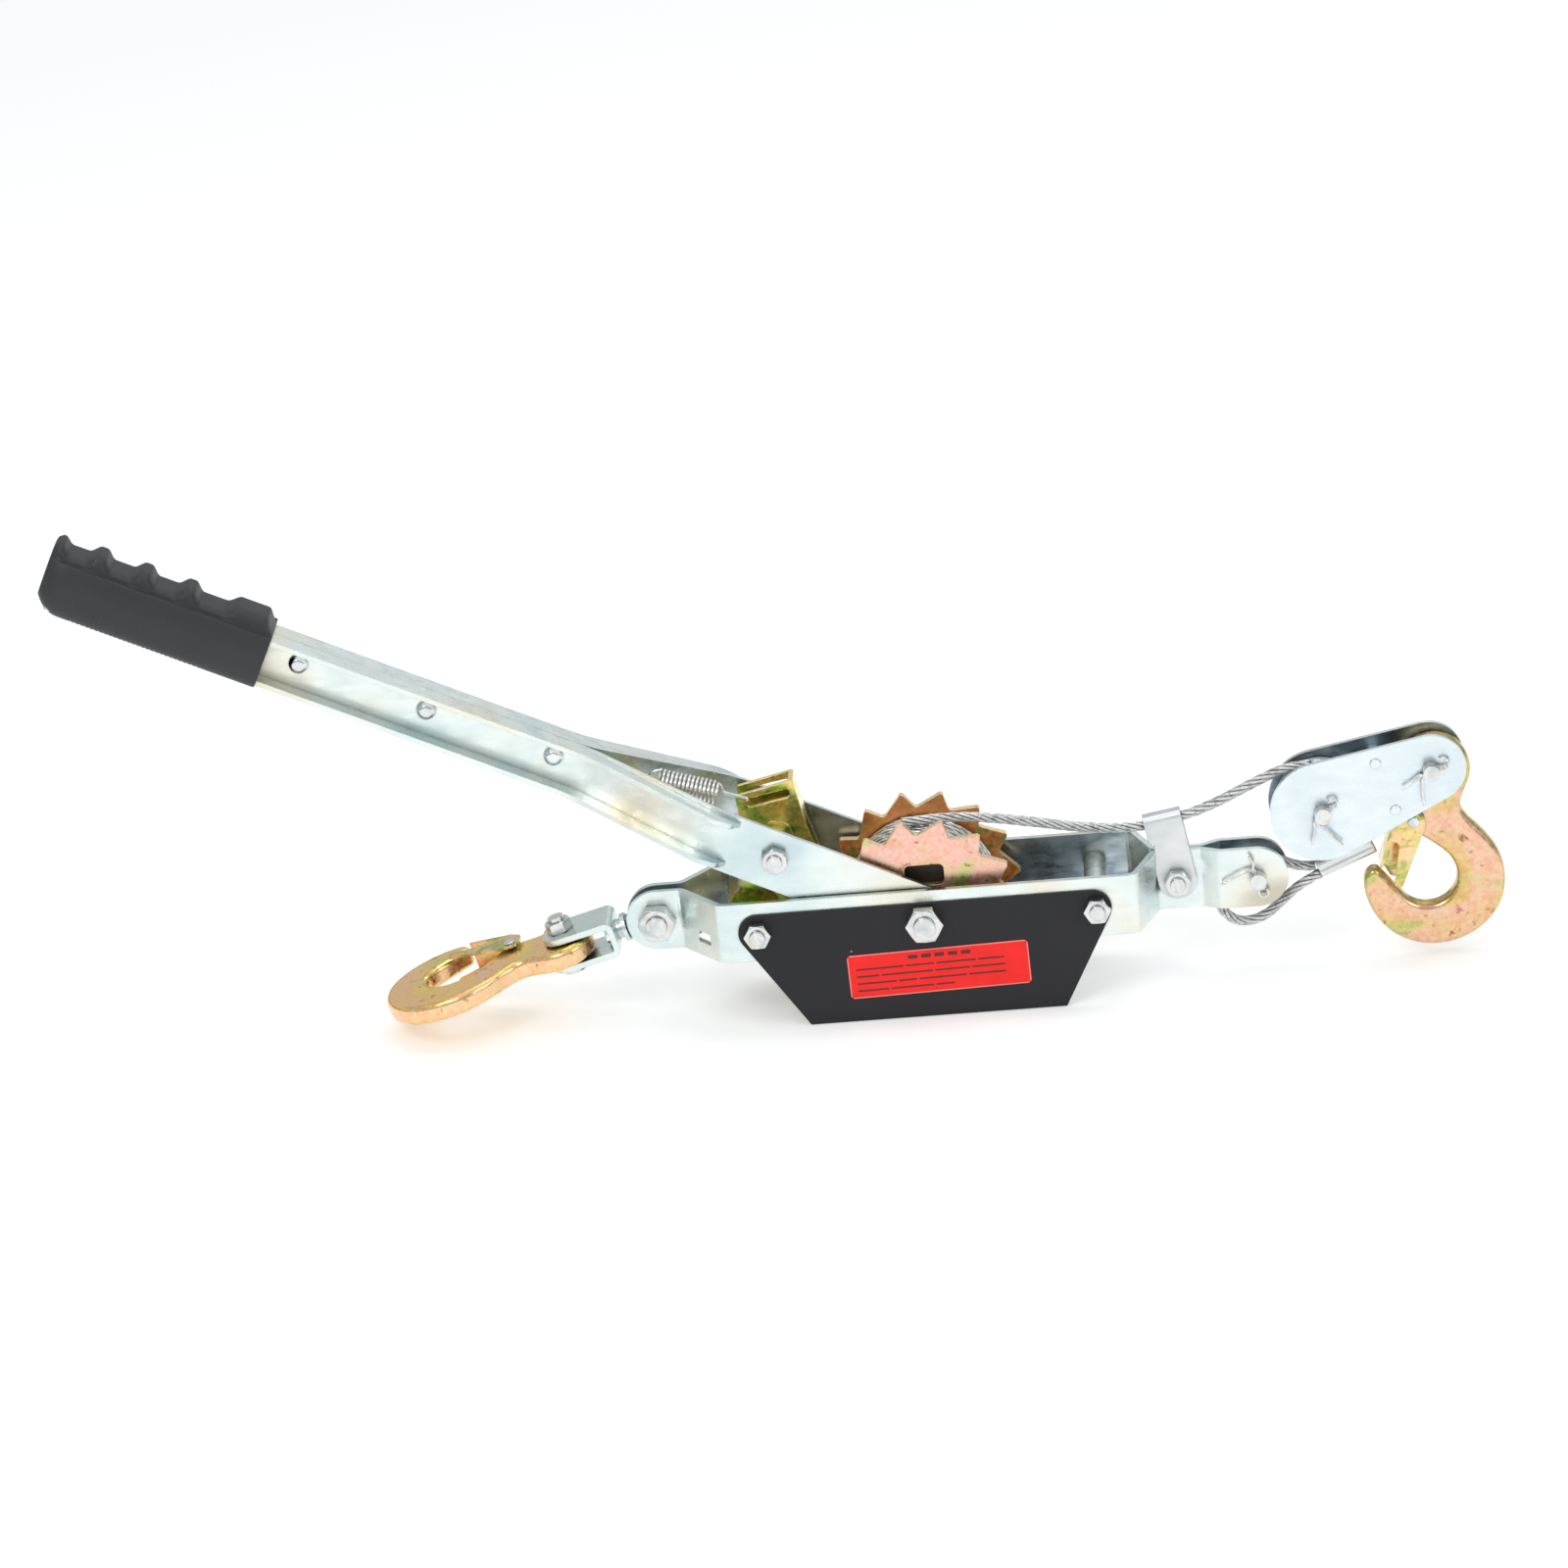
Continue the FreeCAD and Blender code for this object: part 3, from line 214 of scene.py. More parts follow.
def plated(name, stops, rough=(0.22, 0.42), scale=14.0, edge=0.0005, painted_inner_shade=None):
    """A plated metal with soft clouds of colour, faint scuffs, rounded edges and painted shade in
    crevices; given painted inner shade stops, faces that look along -Y get painted shade.
    """
    made, tree, shader = material(name, 1.0)
    colour = ramp(tree, noise(tree, scale, 2.5, distortion=0.6), stops)
    if painted_inner_shade:
        # painted shade: the side that looks into the tool is painted darker than the outer face
        inner_shade_mask = spread(tree, normal_part(tree, "Y"), -0.35, -0.75)
        shade = ramp(tree, noise(tree, 22, 3, (1, 1, 2.5)), painted_inner_shade)
        colour = blend_colours(tree, inner_shade_mask, colour, shade)
    # painted shade where surfaces meet closely darkens the base colour
    tree.links.new(painted_crevice_shade(tree, colour), shader.inputs["Base Color"])
    scuffs = noise(tree, 260, 6, (0.35, 1, 1))
    tree.links.new(ramp(tree, scuffs, [(0.3, (rough[0],) * 3), (0.75, (rough[1],) * 3)]),
                   shader.inputs["Roughness"])
    bump(tree, shader, scuffs, 0.10, 0.0001, edge)
    return made


ZINC = [(0.28, (0.58, 0.69, 0.71)), (0.42, (0.74, 0.83, 0.82)), (0.54, (0.82, 0.87, 0.83)),
        (0.63, (0.82, 0.80, 0.69)), (0.74, (0.60, 0.55, 0.45))]
# stops of the painted shade on faces that look into the tool
INNER_SHADE_STOPS = [(0.3, (0.17, 0.24, 0.28)), (0.5, (0.44, 0.54, 0.60)), (0.60, (0.26, 0.34, 0.40)),
         (0.72, (0.72, 0.80, 0.84))]
COOL = [(0.30, (0.62, 0.73, 0.77)), (0.50, (0.78, 0.85, 0.87)), (0.68, (0.70, 0.78, 0.81))]
zinc = plated("zinc_plate", ZINC)
zinc_inner_painted_shade = plated("zinc_inner_painted_shade", ZINC, painted_inner_shade=INNER_SHADE_STOPS)
zinc_cool = plated("zinc_cool", COOL)
# the lever's far half: a lighter painted shade on its inner faces
zinc_fork_painted_shade = plated("zinc_fork_painted_shade", ZINC, painted_inner_shade=[(0.3, (0.42, 0.50, 0.51)), (0.5, (0.62, 0.70, 0.70)),
                                             (0.7, (0.50, 0.55, 0.52))])
chrome = plated("chrome_steel", [(0.3, (0.60, 0.62, 0.64)), (0.7, (0.84, 0.86, 0.87))],
                (0.06, 0.14), scale=60, edge=0)
bright = plated("bright_steel", [(0.3, (0.52, 0.53, 0.53)), (0.52, (0.76, 0.77, 0.76)),
                                 (0.75, (0.62, 0.58, 0.50))], (0.14, 0.30), scale=90, edge=0.0004)
soft_aluminium = plated("soft_aluminium", [(0.3, (0.66, 0.68, 0.69)), (0.6, (0.80, 0.81, 0.81)),
                                           (0.8, (0.72, 0.72, 0.70))], (0.36, 0.55), scale=30)
dark_steel = plated("dark_steel", [(0.3, (0.20, 0.21, 0.22)), (0.7, (0.38, 0.39, 0.40))],
                    (0.35, 0.6))
black_steel = plated("black_steel", [(0.3, (0.02, 0.018, 0.015)), (0.7, (0.07, 0.06, 0.05))],
                     (0.4, 0.6))


def chromate(name, warm, green, scale=16.0, rough=(0.20, 0.38), rim=None, axis="Y", share=0.56):
    """Yellow chromate: clouds of gold and rose with drifting patches of green."""
    made, tree, shader = material(name, 0.92)
    colour = ramp(tree, noise(tree, scale, 2.0, distortion=0.8), warm)
    patches = noise(tree, scale * 1.3, 4.0, (0.7, 1.0, 1.3), 1.1)
    mask = ramp(tree, patches, [(share - 0.035, (0, 0, 0)), (share + 0.035, (0.9, 0.9, 0.9))])
    colour = blend_colours(tree, mask, colour, (*green, 1))
    if rim:
        colour = blend_colours(tree, edges(tree, axis), colour, (*rim, 1))
    grain = noise(tree, 420, 5)
    tint = ramp(tree, grain, [(0.35, (0.30, 0.20, 0.08)), (0.65, (1.0, 0.94, 0.76))])
    colour = blend_colours(tree, 0.22, colour, tint, "OVERLAY")
    flecks = noise(tree, 210, 6, distortion=0.5)
    pits = ramp(tree, flecks, [(0.29, (0.50, 0.40, 0.28)), (0.38, (1, 1, 1))])
    colour = blend_colours(tree, 1.0, colour, pits, "MULTIPLY")
    # painted shade where surfaces meet closely darkens the base colour
    tree.links.new(painted_crevice_shade(tree, colour, 0.25), shader.inputs["Base Color"])
    tree.links.new(ramp(tree, grain, [(0.3, (rough[0],) * 3), (0.7, (rough[1],) * 3)]),
                   shader.inputs["Roughness"])
    bump(tree, shader, grain, 0.16, 0.00015, 0.0006)
    return made


ROSE = [(0.32, (0.72, 0.42, 0.22)), (0.45, (0.86, 0.52, 0.42)), (0.58, (0.88, 0.50, 0.44)),
        (0.70, (0.66, 0.42, 0.18))]
COPPER = [(0.32, (0.58, 0.24, 0.06)), (0.46, (0.94, 0.42, 0.16)), (0.58, (0.80, 0.34, 0.14)),
          (0.70, (0.44, 0.28, 0.06))]
BRASS = [(0.34, (0.74, 0.66, 0.20)), (0.46, (0.95, 0.55, 0.16)), (0.56, (0.90, 0.72, 0.26)),
         (0.68, (0.70, 0.64, 0.20))]
ROSE_BROWN = [(0.30, (0.70, 0.50, 0.20)), (0.42, (0.82, 0.50, 0.34)), (0.54, (0.82, 0.50, 0.38)),
              (0.64, (0.72, 0.48, 0.20)), (0.74, (0.46, 0.24, 0.10))]
GOLD = [(0.30, (1.00, 0.70, 0.14)), (0.42, (1.00, 0.60, 0.24)), (0.52, (1.00, 0.58, 0.32)),
        (0.60, (1.00, 0.66, 0.16)), (0.72, (0.70, 0.40, 0.10))]
PALE_GOLD = [(0.34, (0.70, 0.56, 0.18)), (0.48, (0.92, 0.60, 0.38)), (0.66, (0.80, 0.62, 0.26))]
wheel_coat = chromate("chromate_wheel", ROSE, (0.58, 0.62, 0.24), 24.0,
                      rim=(1.0, 0.76, 0.46), share=0.60)
wheel_back = chromate("chromate_wheel_back", COPPER, (0.40, 0.42, 0.10), 30.0, (0.25, 0.5),
                      rim=(1.0, 0.78, 0.50), share=0.58)
pawl_coat = chromate("chromate_pawl", BRASS, (0.30, 0.50, 0.08), 38.0, (0.14, 0.30),
                     rim=(0.98, 0.80, 0.42), share=0.51)
hook_coat = chromate("chromate_hook", ROSE_BROWN, (0.50, 0.54, 0.20), 21.0, (0.14, 0.34),
                     rim=(0.52, 0.38, 0.12), share=0.51)
hook_flat = chromate("chromate_hook_flat", GOLD, (0.70, 0.66, 0.22), 23.0, (0.12, 0.32),
                     rim=(0.92, 0.58, 0.34), axis="Z", share=0.57)
latch_coat = chromate("chromate_latch", PALE_GOLD, (0.36, 0.46, 0.12), 46.0, (0.12, 0.28))


def coated(name, base, speck, roughness, height=0.2, specks=0.06, shine=0.5):
    """Dark paint or rubber with a fine skin, a few pale specks and painted shade in crevices."""
    made, tree, shader = material(name, 0.0, roughness)
    shader.inputs["Specular IOR Level"].default_value = shine
    cloud = ramp(tree, noise(tree, 9, 3), [(0.3, base), (0.75, tuple(v * 1.5 for v in base))])
    place = tree.nodes.new("ShaderNodeTexCoord")
    cells = add(tree, "ShaderNodeTexVoronoi", Scale=170.0)
    tree.links.new(place.outputs["Object"], cells.inputs["Vector"])
    dots = ramp(tree, cells.outputs["Distance"], [(specks, (1, 1, 1)), (specks + 0.03, (0, 0, 0))])
    rare = ramp(tree, noise(tree, 55, 2), [(0.60, (0, 0, 0)), (0.66, (1, 1, 1))])
    mask = blend_colours(tree, 1.0, dots, rare, "MULTIPLY")
    # painted shade where surfaces meet closely darkens the colour with the specks
    tree.links.new(painted_crevice_shade(tree, blend_colours(tree, mask, cloud, (*speck, 1)), 0.45, 0.005),
                   shader.inputs["Base Color"])
    bump(tree, shader, noise(tree, 900, 3), height, 0.0001, 0.0004)
    return made


cover_paint = coated("black_cover", (0.010, 0.010, 0.012), (0.30, 0.31, 0.33), 0.46, 0.10,
                     shine=0.34)
rubber = coated("black_rubber", (0.019, 0.019, 0.021), (0.16, 0.16, 0.17), 0.50, 0.30, 0.04)


def plain(name, colour, roughness, shine=0.5):
    """A printed or painted colour with faint clouds."""
    made, tree, shader = material(name, 0.0, roughness)
    shader.inputs["Specular IOR Level"].default_value = shine
    low = tuple(v * 0.88 for v in colour)
    tree.links.new(ramp(tree, noise(tree, 120, 3), [(0.3, low), (0.7, colour)]),
                   shader.inputs["Base Color"])
    bump(tree, shader, noise(tree, 480, 3), 0.05, 0.0001)
    return made


label_red = plain("label_red", (1.0, 0.018, 0.014), 0.40, shine=0.3)
label_ink = plain("label_ink", (0.10, 0.008, 0.008), 0.4)
label_rim = plain("label_rim", (0.93, 0.30, 0.26), 0.3)
wire = plated("rope_wire", [(0.3, (0.42, 0.42, 0.42)), (0.55, (0.80, 0.80, 0.79)),
                            (0.8, (0.62, 0.60, 0.57))], (0.25, 0.45), scale=300, edge=0)
spring_wire = plated("spring_wire", [(0.3, (0.74, 0.73, 0.70)), (0.7, (0.98, 0.97, 0.94))],
                     (0.15, 0.3), scale=200, edge=0)


def finish_node(names, coat):
    for name in names.split():
        mesh = NODES[name].data
        mesh.materials.clear()
        mesh.materials.append(coat)


finish_node("side_strap_near lever_half_near spacer_tube swivel_eye swivel_yoke", zinc)
finish_node("block_plate_near block_spacers", zinc_cool)
# painted shade on the inner faces of the far strap, far block plate and far lever half
finish_node("side_strap_far block_plate_far", zinc_inner_painted_shade)
finish_node("lever_half_far", zinc_fork_painted_shade)
finish_node("lever_rivets", chrome)
finish_node("cover_plate_near cover_plate_far", cover_paint)
finish_node("safety_label", label_red)
finish_node("main_bolt main_nut hold_pawl_bolt hold_pawl_nut spacer_bolt spacer_nut "
            "rear_bolt rear_nut guide_bolt guide_nut clevis_pin clevis_cotter "
            "lever_pawl_bolt lever_pawl_nut sheave_pin sheave_cotter hook_pin hook_cotter "
            "yoke_bolt yoke_nut block_latch_rivet rear_latch_rivet", bright)
finish_node("rope_guide rope_ferrule", soft_aluminium)
finish_node("drum_core", black_steel)
finish_node("sheave", dark_steel)
finish_node("ratchet_wheel_near", wheel_coat)
finish_node("ratchet_wheel_far", wheel_back)
finish_node("drive_pawl hold_pawl", pawl_coat)
finish_node("block_hook", hook_coat)
finish_node("rear_hook", hook_flat)
finish_node("block_latch rear_latch", latch_coat)
finish_node("grip", rubber)
finish_node("rope_lead rope_return rope_eye rope_winding", wire)
finish_node("tension_spring", spring_wire)


# ---- building pieces

def piece(name, points, faces, coat, smooth=True):
    """An object from lists of points and faces, in its material and slot."""
    mesh = bpy.data.meshes.new(name)
    mesh.from_pydata([tuple(p) for p in points], [], faces)
    mesh.materials.append(coat)
    if smooth:
        mesh.polygons.foreach_set("use_smooth", [True] * len(mesh.polygons))
    mesh.update()
    made = bpy.data.objects.new(name, mesh)
    bpy.context.scene.collection.objects.link(made)
    return made


def smooth_line(points):
    """The points of a NURBS spline through a route, in the row frame."""
    curve = bpy.data.curves.new("route", "CURVE")
    curve.dimensions = "3D"
    curve.resolution_u = 16
    spline = curve.splines.new("NURBS")
    spline.points.add(len(points) - 1)
    for target, (x, z) in zip(spline.points, points):
        target.co = (*spot(x, 0, z), 1)
    spline.order_u = 3
    spline.use_endpoint_u = True
    bare = bpy.data.objects.new("route", curve)
    mesh = bpy.data.meshes.new_from_object(bare)
    line = [v.co.copy() for v in mesh.vertices]
    bpy.data.objects.remove(bare)
    bpy.data.meshes.remove(mesh)
    bpy.data.curves.remove(curve)
    return line


def even(line, step):
    """The line again, with points about a step apart."""
    lengths = [0.0]
    for a, b in zip(line, line[1:]):
        lengths.append(lengths[-1] + (b - a).length)
    count = max(2, round(lengths[-1] / step))
    out, at = [], 0
    for index in range(count + 1):
        goal = lengths[-1] * index / count
        while at < len(line) - 2 and lengths[at + 1] < goal:
            at += 1
        span = lengths[at + 1] - lengths[at]
        out.append(line[at].lerp(line[at + 1], (goal - lengths[at]) / span if span else 0))
    return out


def frames(line):
    """At each point, its direction and two square directions that don't twist."""
    found = []
    side = None
    for index, point in enumerate(line):
        way = (line[min(index + 1, len(line) - 1)] - line[max(index - 1, 0)]).normalized()
        if side is None:
            side = way.orthogonal()
        side = (side - way * side.dot(way)).normalized()
        found.append((point, way, side, way.cross(side)))
    return found


def bridge(faces, first, second, count):
    """Adds the faces between two rings of count points each."""
    for k in range(count):
        m = (k + 1) % count
        faces.append((first + k, first + m, second + m, second + k))


def cap(faces, first, count, forward=True):
    """Adds one face that closes a ring."""
    ring = range(first, first + count)
    faces.append(tuple(ring if forward else reversed(ring)))


def tube(line, radius, sides, points, faces):
    """Adds a round tube along a line to the lists."""
    first = len(points)
    for point, way, a, b in frames(line):
        for k in range(sides):
            angle = 2 * math.pi * k / sides
            points.append(point + (a * math.cos(angle) + b * math.sin(angle)) * radius)
    last = first + (len(line) - 1) * sides
    for ring in range(first, last, sides):
        bridge(faces, ring, ring + sides, sides)
    cap(faces, first, sides, forward=False)
    cap(faces, last, sides)


def strand_lines(line, radius, strands, lay):
    """The lines of strands laid round a line, one turn in each lay."""
    placed = frames(line)
    run = [0.0]
    for a, b in zip(line, line[1:]):
        run.append(run[-1] + (b - a).length)
    out = []
    for strand in range(strands):
        start = 2 * math.pi * strand / strands
        out.append([point + (a * math.cos(start + 2 * math.pi * s / lay)
                             + b * math.sin(start + 2 * math.pi * s / lay)) * radius
                    for (point, way, a, b), s in zip(placed, run)])
    return out


ROPE = 0.005            # diameter
STRAND_LAY, WIRE_LAY = 0.034, -0.011


def rope(name, line, sides=7, step=0.9, wires=True):
    """A wire rope: six strands round a core, each with its own wires standing proud."""
    line = even(line, step * MM)
    points, faces = [], []
    tube(line, ROPE * 0.2, 6, points, faces)
    strand_radius = ROPE / 6.1
    for strand in strand_lines(line, ROPE / 2 - strand_radius, 6, STRAND_LAY):
        tube(strand, strand_radius * (0.86 if wires else 1), sides, points, faces)
        if wires:
            for filament in strand_lines(strand, strand_radius * 0.68, 6, WIRE_LAY):
                tube(filament, strand_radius * 0.36, 4, points, faces)
    return piece(name, points, faces, wire), line


# ---- wire rope

ROPE_LEAD = [(-8, 38.9), (12, 40.4), (33, 38.5), (58.7, 33.6), (77, 29.6), (96, 27.5),
             (110, 27.9), (127, 31.2), (143.2, 36.6), (160.2, 44.8), (174, 50.9),
             (182.5, 52.6), (190, 53.0)]
ROPE_RETURN = [(190, 53.0), (200.5, 52.6), (211.5, 47), (219.5, 36.5), (223, 25.5),
               (221.5, 17.5), (216.8, 13.5)]
ROPE_EYE = [(189.1, 0.7), (183, 0.1), (172, 5.0), (162, 7.6), (152, 6.9), (144.4, 0.4),
            (141.0, -9), (142.2, -18.7), (150.5, -26.4), (163, -24.4), (172.5, -16.2),
            (182, -7.9), (191.5, -3.6)]

lead, lead_line = rope("wire_rope_lead", smooth_line(ROPE_LEAD))
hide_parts("rope_lead")
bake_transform(lead)
back, back_line = rope("wire_rope_return", smooth_line(ROPE_RETURN))
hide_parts("rope_return")
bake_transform(back)
eye, eye_line = rope("wire_rope_eye", smooth_line(ROPE_EYE))
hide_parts("rope_eye")
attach(eye, "frame")

# the crimped sleeve that closes the eye: two lobes pressed round the two legs
crimp_place = Matrix.Translation(spot(190.8, 0, -1.2)) @ Matrix.Rotation(
    math.radians(-22.5), 4, "Y")
CRIMP_SIDES = 40
points, faces = [], []
rings = ([(0.02, 0.93), (0.5, 1.0)] + [(1 + k * 0.75, 1.0) for k in range(36)]
         + [(28.5, 1.0), (28.98, 0.93)])
for along, scale in rings:
    press = 1 - 0.07 * max(0.0, math.cos((along - 5.5) * math.pi / 4.5)) ** 6
    for k in range(CRIMP_SIDES):
        angle = 2 * math.pi * k / CRIMP_SIDES
        z = 4.85 * math.cos(angle)
        y = 3.48 * math.sin(angle) * (1 - 0.30 * math.exp(-(z / 1.1) ** 2)) * press
        points.append(crimp_place @ (Vector((along, y * scale, z * scale)) * MM))
last = (len(rings) - 1) * CRIMP_SIDES
for ring in range(0, last, CRIMP_SIDES):
    bridge(faces, ring + CRIMP_SIDES, ring, CRIMP_SIDES)
cap(faces, 0, CRIMP_SIDES)
cap(faces, last, CRIMP_SIDES, forward=False)
crimp = piece("crimp_sleeve", points, faces, soft_aluminium)
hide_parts("rope_ferrule")
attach(crimp, "frame")

# the outer layer on the drum: six neighbouring turns over a plain dark bed, a painted shade in the
# gaps between the turns
turns = []
TURN_STEPS, TURN_RADIUS, TURN_SIDE = 60, 33.9, 14.2
for index in range(6 * TURN_STEPS + 1):
    angle = 2 * math.pi * index / TURN_STEPS
    share = min(1, max(0, (index - 15) / (6 * TURN_STEPS - 30)))
    turns.append(spot(TURN_RADIUS * math.sin(angle), TURN_SIDE * (2 * share - 1),
                      TURN_RADIUS * math.cos(angle)))
winding, _ = rope("wire_rope_turns", turns, step=1.6, sides=8, wires=False)
# the near-black bed is painted shade, seen in the gaps between the turns
inner_points, inner_faces = [], []
tube([spot(0, -16.7, 0), spot(0, 16.7, 0)], 32.2 * MM, 64, inner_points, inner_faces)
rope_bed_shade = piece("wire_rope_bed_painted_shade", inner_points, inner_faces, black_steel, False)
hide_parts("rope_winding")
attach(winding, "drum")
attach(rope_bed_shade, "drum")

# ---- tension spring: a close-wound coil with a hook at each end

spring_place = LEVER @ Matrix.Translation(Vector((-142.0, 2.3, 8.2)) * MM) @ Matrix.Rotation(
    math.radians(-7.8), 4, "Y")
coil = []
COIL_TURNS, COIL_RADIUS = 14, 5.7
for index in range(COIL_TURNS * 20 + 1):
    angle = 2 * math.pi * index / 20
    coil.append(Vector((1 + 28.5 * index / (COIL_TURNS * 20), COIL_RADIUS * math.sin(angle),
                        COIL_RADIUS * math.cos(angle))))
front = [Vector(p) for p in ((30.2, 0, 5.2), (31.2, 0, 4.0), (32.3, 0, 2.4), (34, 0, 1.5),
                             (39, 0, 1.2), (44.4, 0, 1.2), (45.1, 0, 0.6), (44.6, 0, -0.2))]
rear = [Vector(p) for p in ((0.4, 0, 5.3), (-1.2, 0, 4.8), (-3.2, 0, 3.2), (-4.2, 0, 0.8),
                            (-3.8, 0, -1.6), (-2.2, 0, -2.6))]
spring_line = [spring_place @ (p * MM) for p in list(reversed(rear)) + coil + front]
points, faces = [], []
tube(spring_line, 0.80 * MM, 8, points, faces)
spring = piece("lever_spring_coil", points, faces, spring_wire)
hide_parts("tension_spring")
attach(spring, "lever")

# a small torsion spring on the hold pawl's bolt
points, faces = [], []
hold = []
for index in range(5 * 18 + 1):
    angle = 2 * math.pi * index / 18
    hold.append(spot(-80.5 + 6.3 * math.cos(angle), -9 + 18 * index / 90, 6.3 * math.sin(angle)))
hold.append(spot(-78, 9.4, 9.0))
hold.append(spot(-72, 9.6, 13.5))
tube(hold, 0.6 * MM, 7, points, faces)
pawl_spring = piece("hold_pawl_coil", points, faces, spring_wire)
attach(pawl_spring, "hold_pawl")


# ---- threads on the near ends of the bolts

def thread(name, body, centre, radius, length):
    """A short threaded end with a rounded tip along -Y, over a plain shank."""
    pitch, count = 0.8, 40
    profile = []
    along = 0.0
    while along < length - pitch:
        profile += [(radius + 0.02, along), (radius + 0.16, along + 0.35),
                    (radius + 0.02, along + 0.7)]
        along += pitch
    profile += [(radius - 0.1, length - 0.5), (radius - 0.9, length + 0.05),
                (radius * 0.45, length + 0.05), (radius * 0.42, length + 0.02),
                (0.05, length + 0.02)]
    points, faces = [], []
    for r, y in profile:
        for k in range(count):
            angle = 2 * math.pi * k / count
            points.append(centre + Vector((r * math.cos(angle), -y, r * math.sin(angle))) * MM)
    last = (len(profile) - 1) * count
    for ring in range(0, last, count):
        bridge(faces, ring + count, ring, count)
    cap(faces, last, count)
    made = piece(name, points, faces, bright, False)
    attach(made, body)


for bolt, nut, radius in (("main_bolt", "main_nut", 5.0), ("hold_pawl_bolt", "hold_pawl_nut", 3.5),
                          ("spacer_bolt", "spacer_nut", 3.5), ("rear_bolt", "rear_nut", 5.0),
                          ("guide_bolt", "guide_nut", 3.5),
                          ("lever_pawl_bolt", "lever_pawl_nut", 3.5)):
    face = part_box(nut)[0].y
    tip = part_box(bolt)[0].y
    thread(bolt + "_thread", NODES[bolt]["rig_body"], Vector((middle(nut).x, face, middle(nut).z)),
           radius, (face - tip) / MM)

# ---- label: a pale rim and rows of plain bars in place of lettering

label_place = Matrix.Translation(spot(5.0, -32.33, -25.5)) @ Matrix.Rotation(
    math.radians(-1.2), 4, "Y")
points, faces = [], []


def bar(x, z, width, height, depth=0.05):
    """Adds a flat bar to the lists, placed in millimetres from the label's middle."""
    first = len(points)
    for dx, dz in ((-1, -1), (1, -1), (1, 1), (-1, 1)):
        for y in (0.02, -depth):
            corner = Vector((x + dx * width / 2, y, z + dz * height / 2))
            points.append(label_place @ (corner * MM))
    q = [first + i for i in range(8)]
    faces.extend([(q[1], q[3], q[5], q[7]), (q[0], q[6], q[4], q[2]), (q[0], q[2], q[3], q[1]),
                  (q[2], q[4], q[5], q[3]), (q[4], q[6], q[7], q[5]), (q[6], q[0], q[1], q[7])])


for index in range(5):
    bar(-12 + index * 6.4, 7.9, 4.6, 1.9)
for row, widths in enumerate(((24, 15, 20, 14), (12, 26, 18, 17), (20, 10, 24, 19), (16, 22, 10))):
    left = -40.5
    for width in widths:
        bar(left + width / 2, 3.6 - row * 3.7, width - 1.2, 0.8)
        left += width
bars = piece("label_bars", points, faces, label_ink, False)
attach(bars, "frame")
points, faces = [], []
for x, z, width, height in ((0, 11.0, 85, 0.5), (0, -11.0, 85, 0.5), (-43.4, 0, 0.5, 20),
                            (43.4, 0, 0.5, 20)):
    bar(x, z, width, height, 0.04)
rim = piece("label_rim", points, faces, label_rim, False)
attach(rim, "frame")


# ---- grip: a moulded rubber sleeve with finger ridges, fine ribs and a seam

def ridge(u):
    """Height of the grip's top line above the lever's middle at a distance from the axle."""
    valley, peak = 18.3, 23.0
    height = valley
    for centre, width, flat in ((450.0, 6.5, 1.5), (428.0, 6.0, 1.0), (405.6, 6.0, 1.0),
                                (383.3, 6.0, 1.0), (352.0, 7.0, 6.5)):
        away = max(0.0, abs(u - centre) - flat) / width
        if away < 1:
            height = max(height, valley + (peak - valley) * (0.5 + 0.5 * math.cos(math.pi * away)))
    if u < 344:
        height -= (344 - u) * 0.55
    return height


def grip_section(u):
    """Corners of the sleeve across the lever, as (y, z), with a lip at the seam."""
    top = ridge(u)
    seam = 15.6
    nose = max(0.0, (u - 437.0) / 14.0)
    tail = 1 - 0.34 * nose ** 3
    top -= 2.5 * max(0.0, (u - 446.0) / 5.0) ** 2
    groove = 0.0
    if 366 < u < 434:
        groove = 0.42 * max(0.0, math.cos((u - 366) * 2 * math.pi / 2.35)) ** 4
    low = -13.6 + 7.5 * nose ** 2.6
    half = 15.35 * tail
    ring = []
    cap = 12.3 * tail - 0.16 * (23.0 - top)
    for angle in range(0, 181, 10):
        c, s = math.cos(math.radians(angle)), math.sin(math.radians(angle))
        rise = top - seam + 0.5
        ring.append((cap * math.copysign(abs(c) ** 0.55, c), seam - 0.5 + rise * abs(s) ** 0.62))
    ring.append((-cap - 0.5, seam - 0.6))
    ring.append((-half + 0.9, seam + 0.1))
    ring.append((-half + 0.1, seam - 0.7))
    for angle in range(0, 181, 9):
        c, s = math.cos(math.radians(angle)), math.sin(math.radians(angle))
        cut = groove * (0.35 + 0.65 * min(1.0, 2 * s)) if s > 0.05 else 0.0
        ring.append((-(half - cut) * math.copysign(abs(c) ** 0.55, c),
                     4.0 - (4.0 - low - cut * 0.6) * abs(s) ** 0.55))
    ring.append((half - 0.1, seam - 0.7))
    ring.append((half - 0.9, seam + 0.1))
    ring.append((cap + 0.5, seam - 0.6))
    return ring


GRIP_START, GRIP_END, GRIP_STEPS = 339.6, 450.4, 340
points, faces = [], []


def grip_ring(u, along, scale=1.0, middle_z=0.0):
    """Adds a ring of the sleeve's section at u, shrunk round a height and set at along."""
    for y, z in grip_section(u):
        points.append(LEVER @ (Vector((-along, y * scale, middle_z + (z - middle_z) * scale)) * MM))


for index in range(GRIP_STEPS + 1):
    station = GRIP_START + (GRIP_END - GRIP_START) * index / GRIP_STEPS
    grip_ring(station, station)
count = len(grip_section(400))
last = GRIP_STEPS * count
for ring in range(0, last, count):
    bridge(faces, ring, ring + count, count)
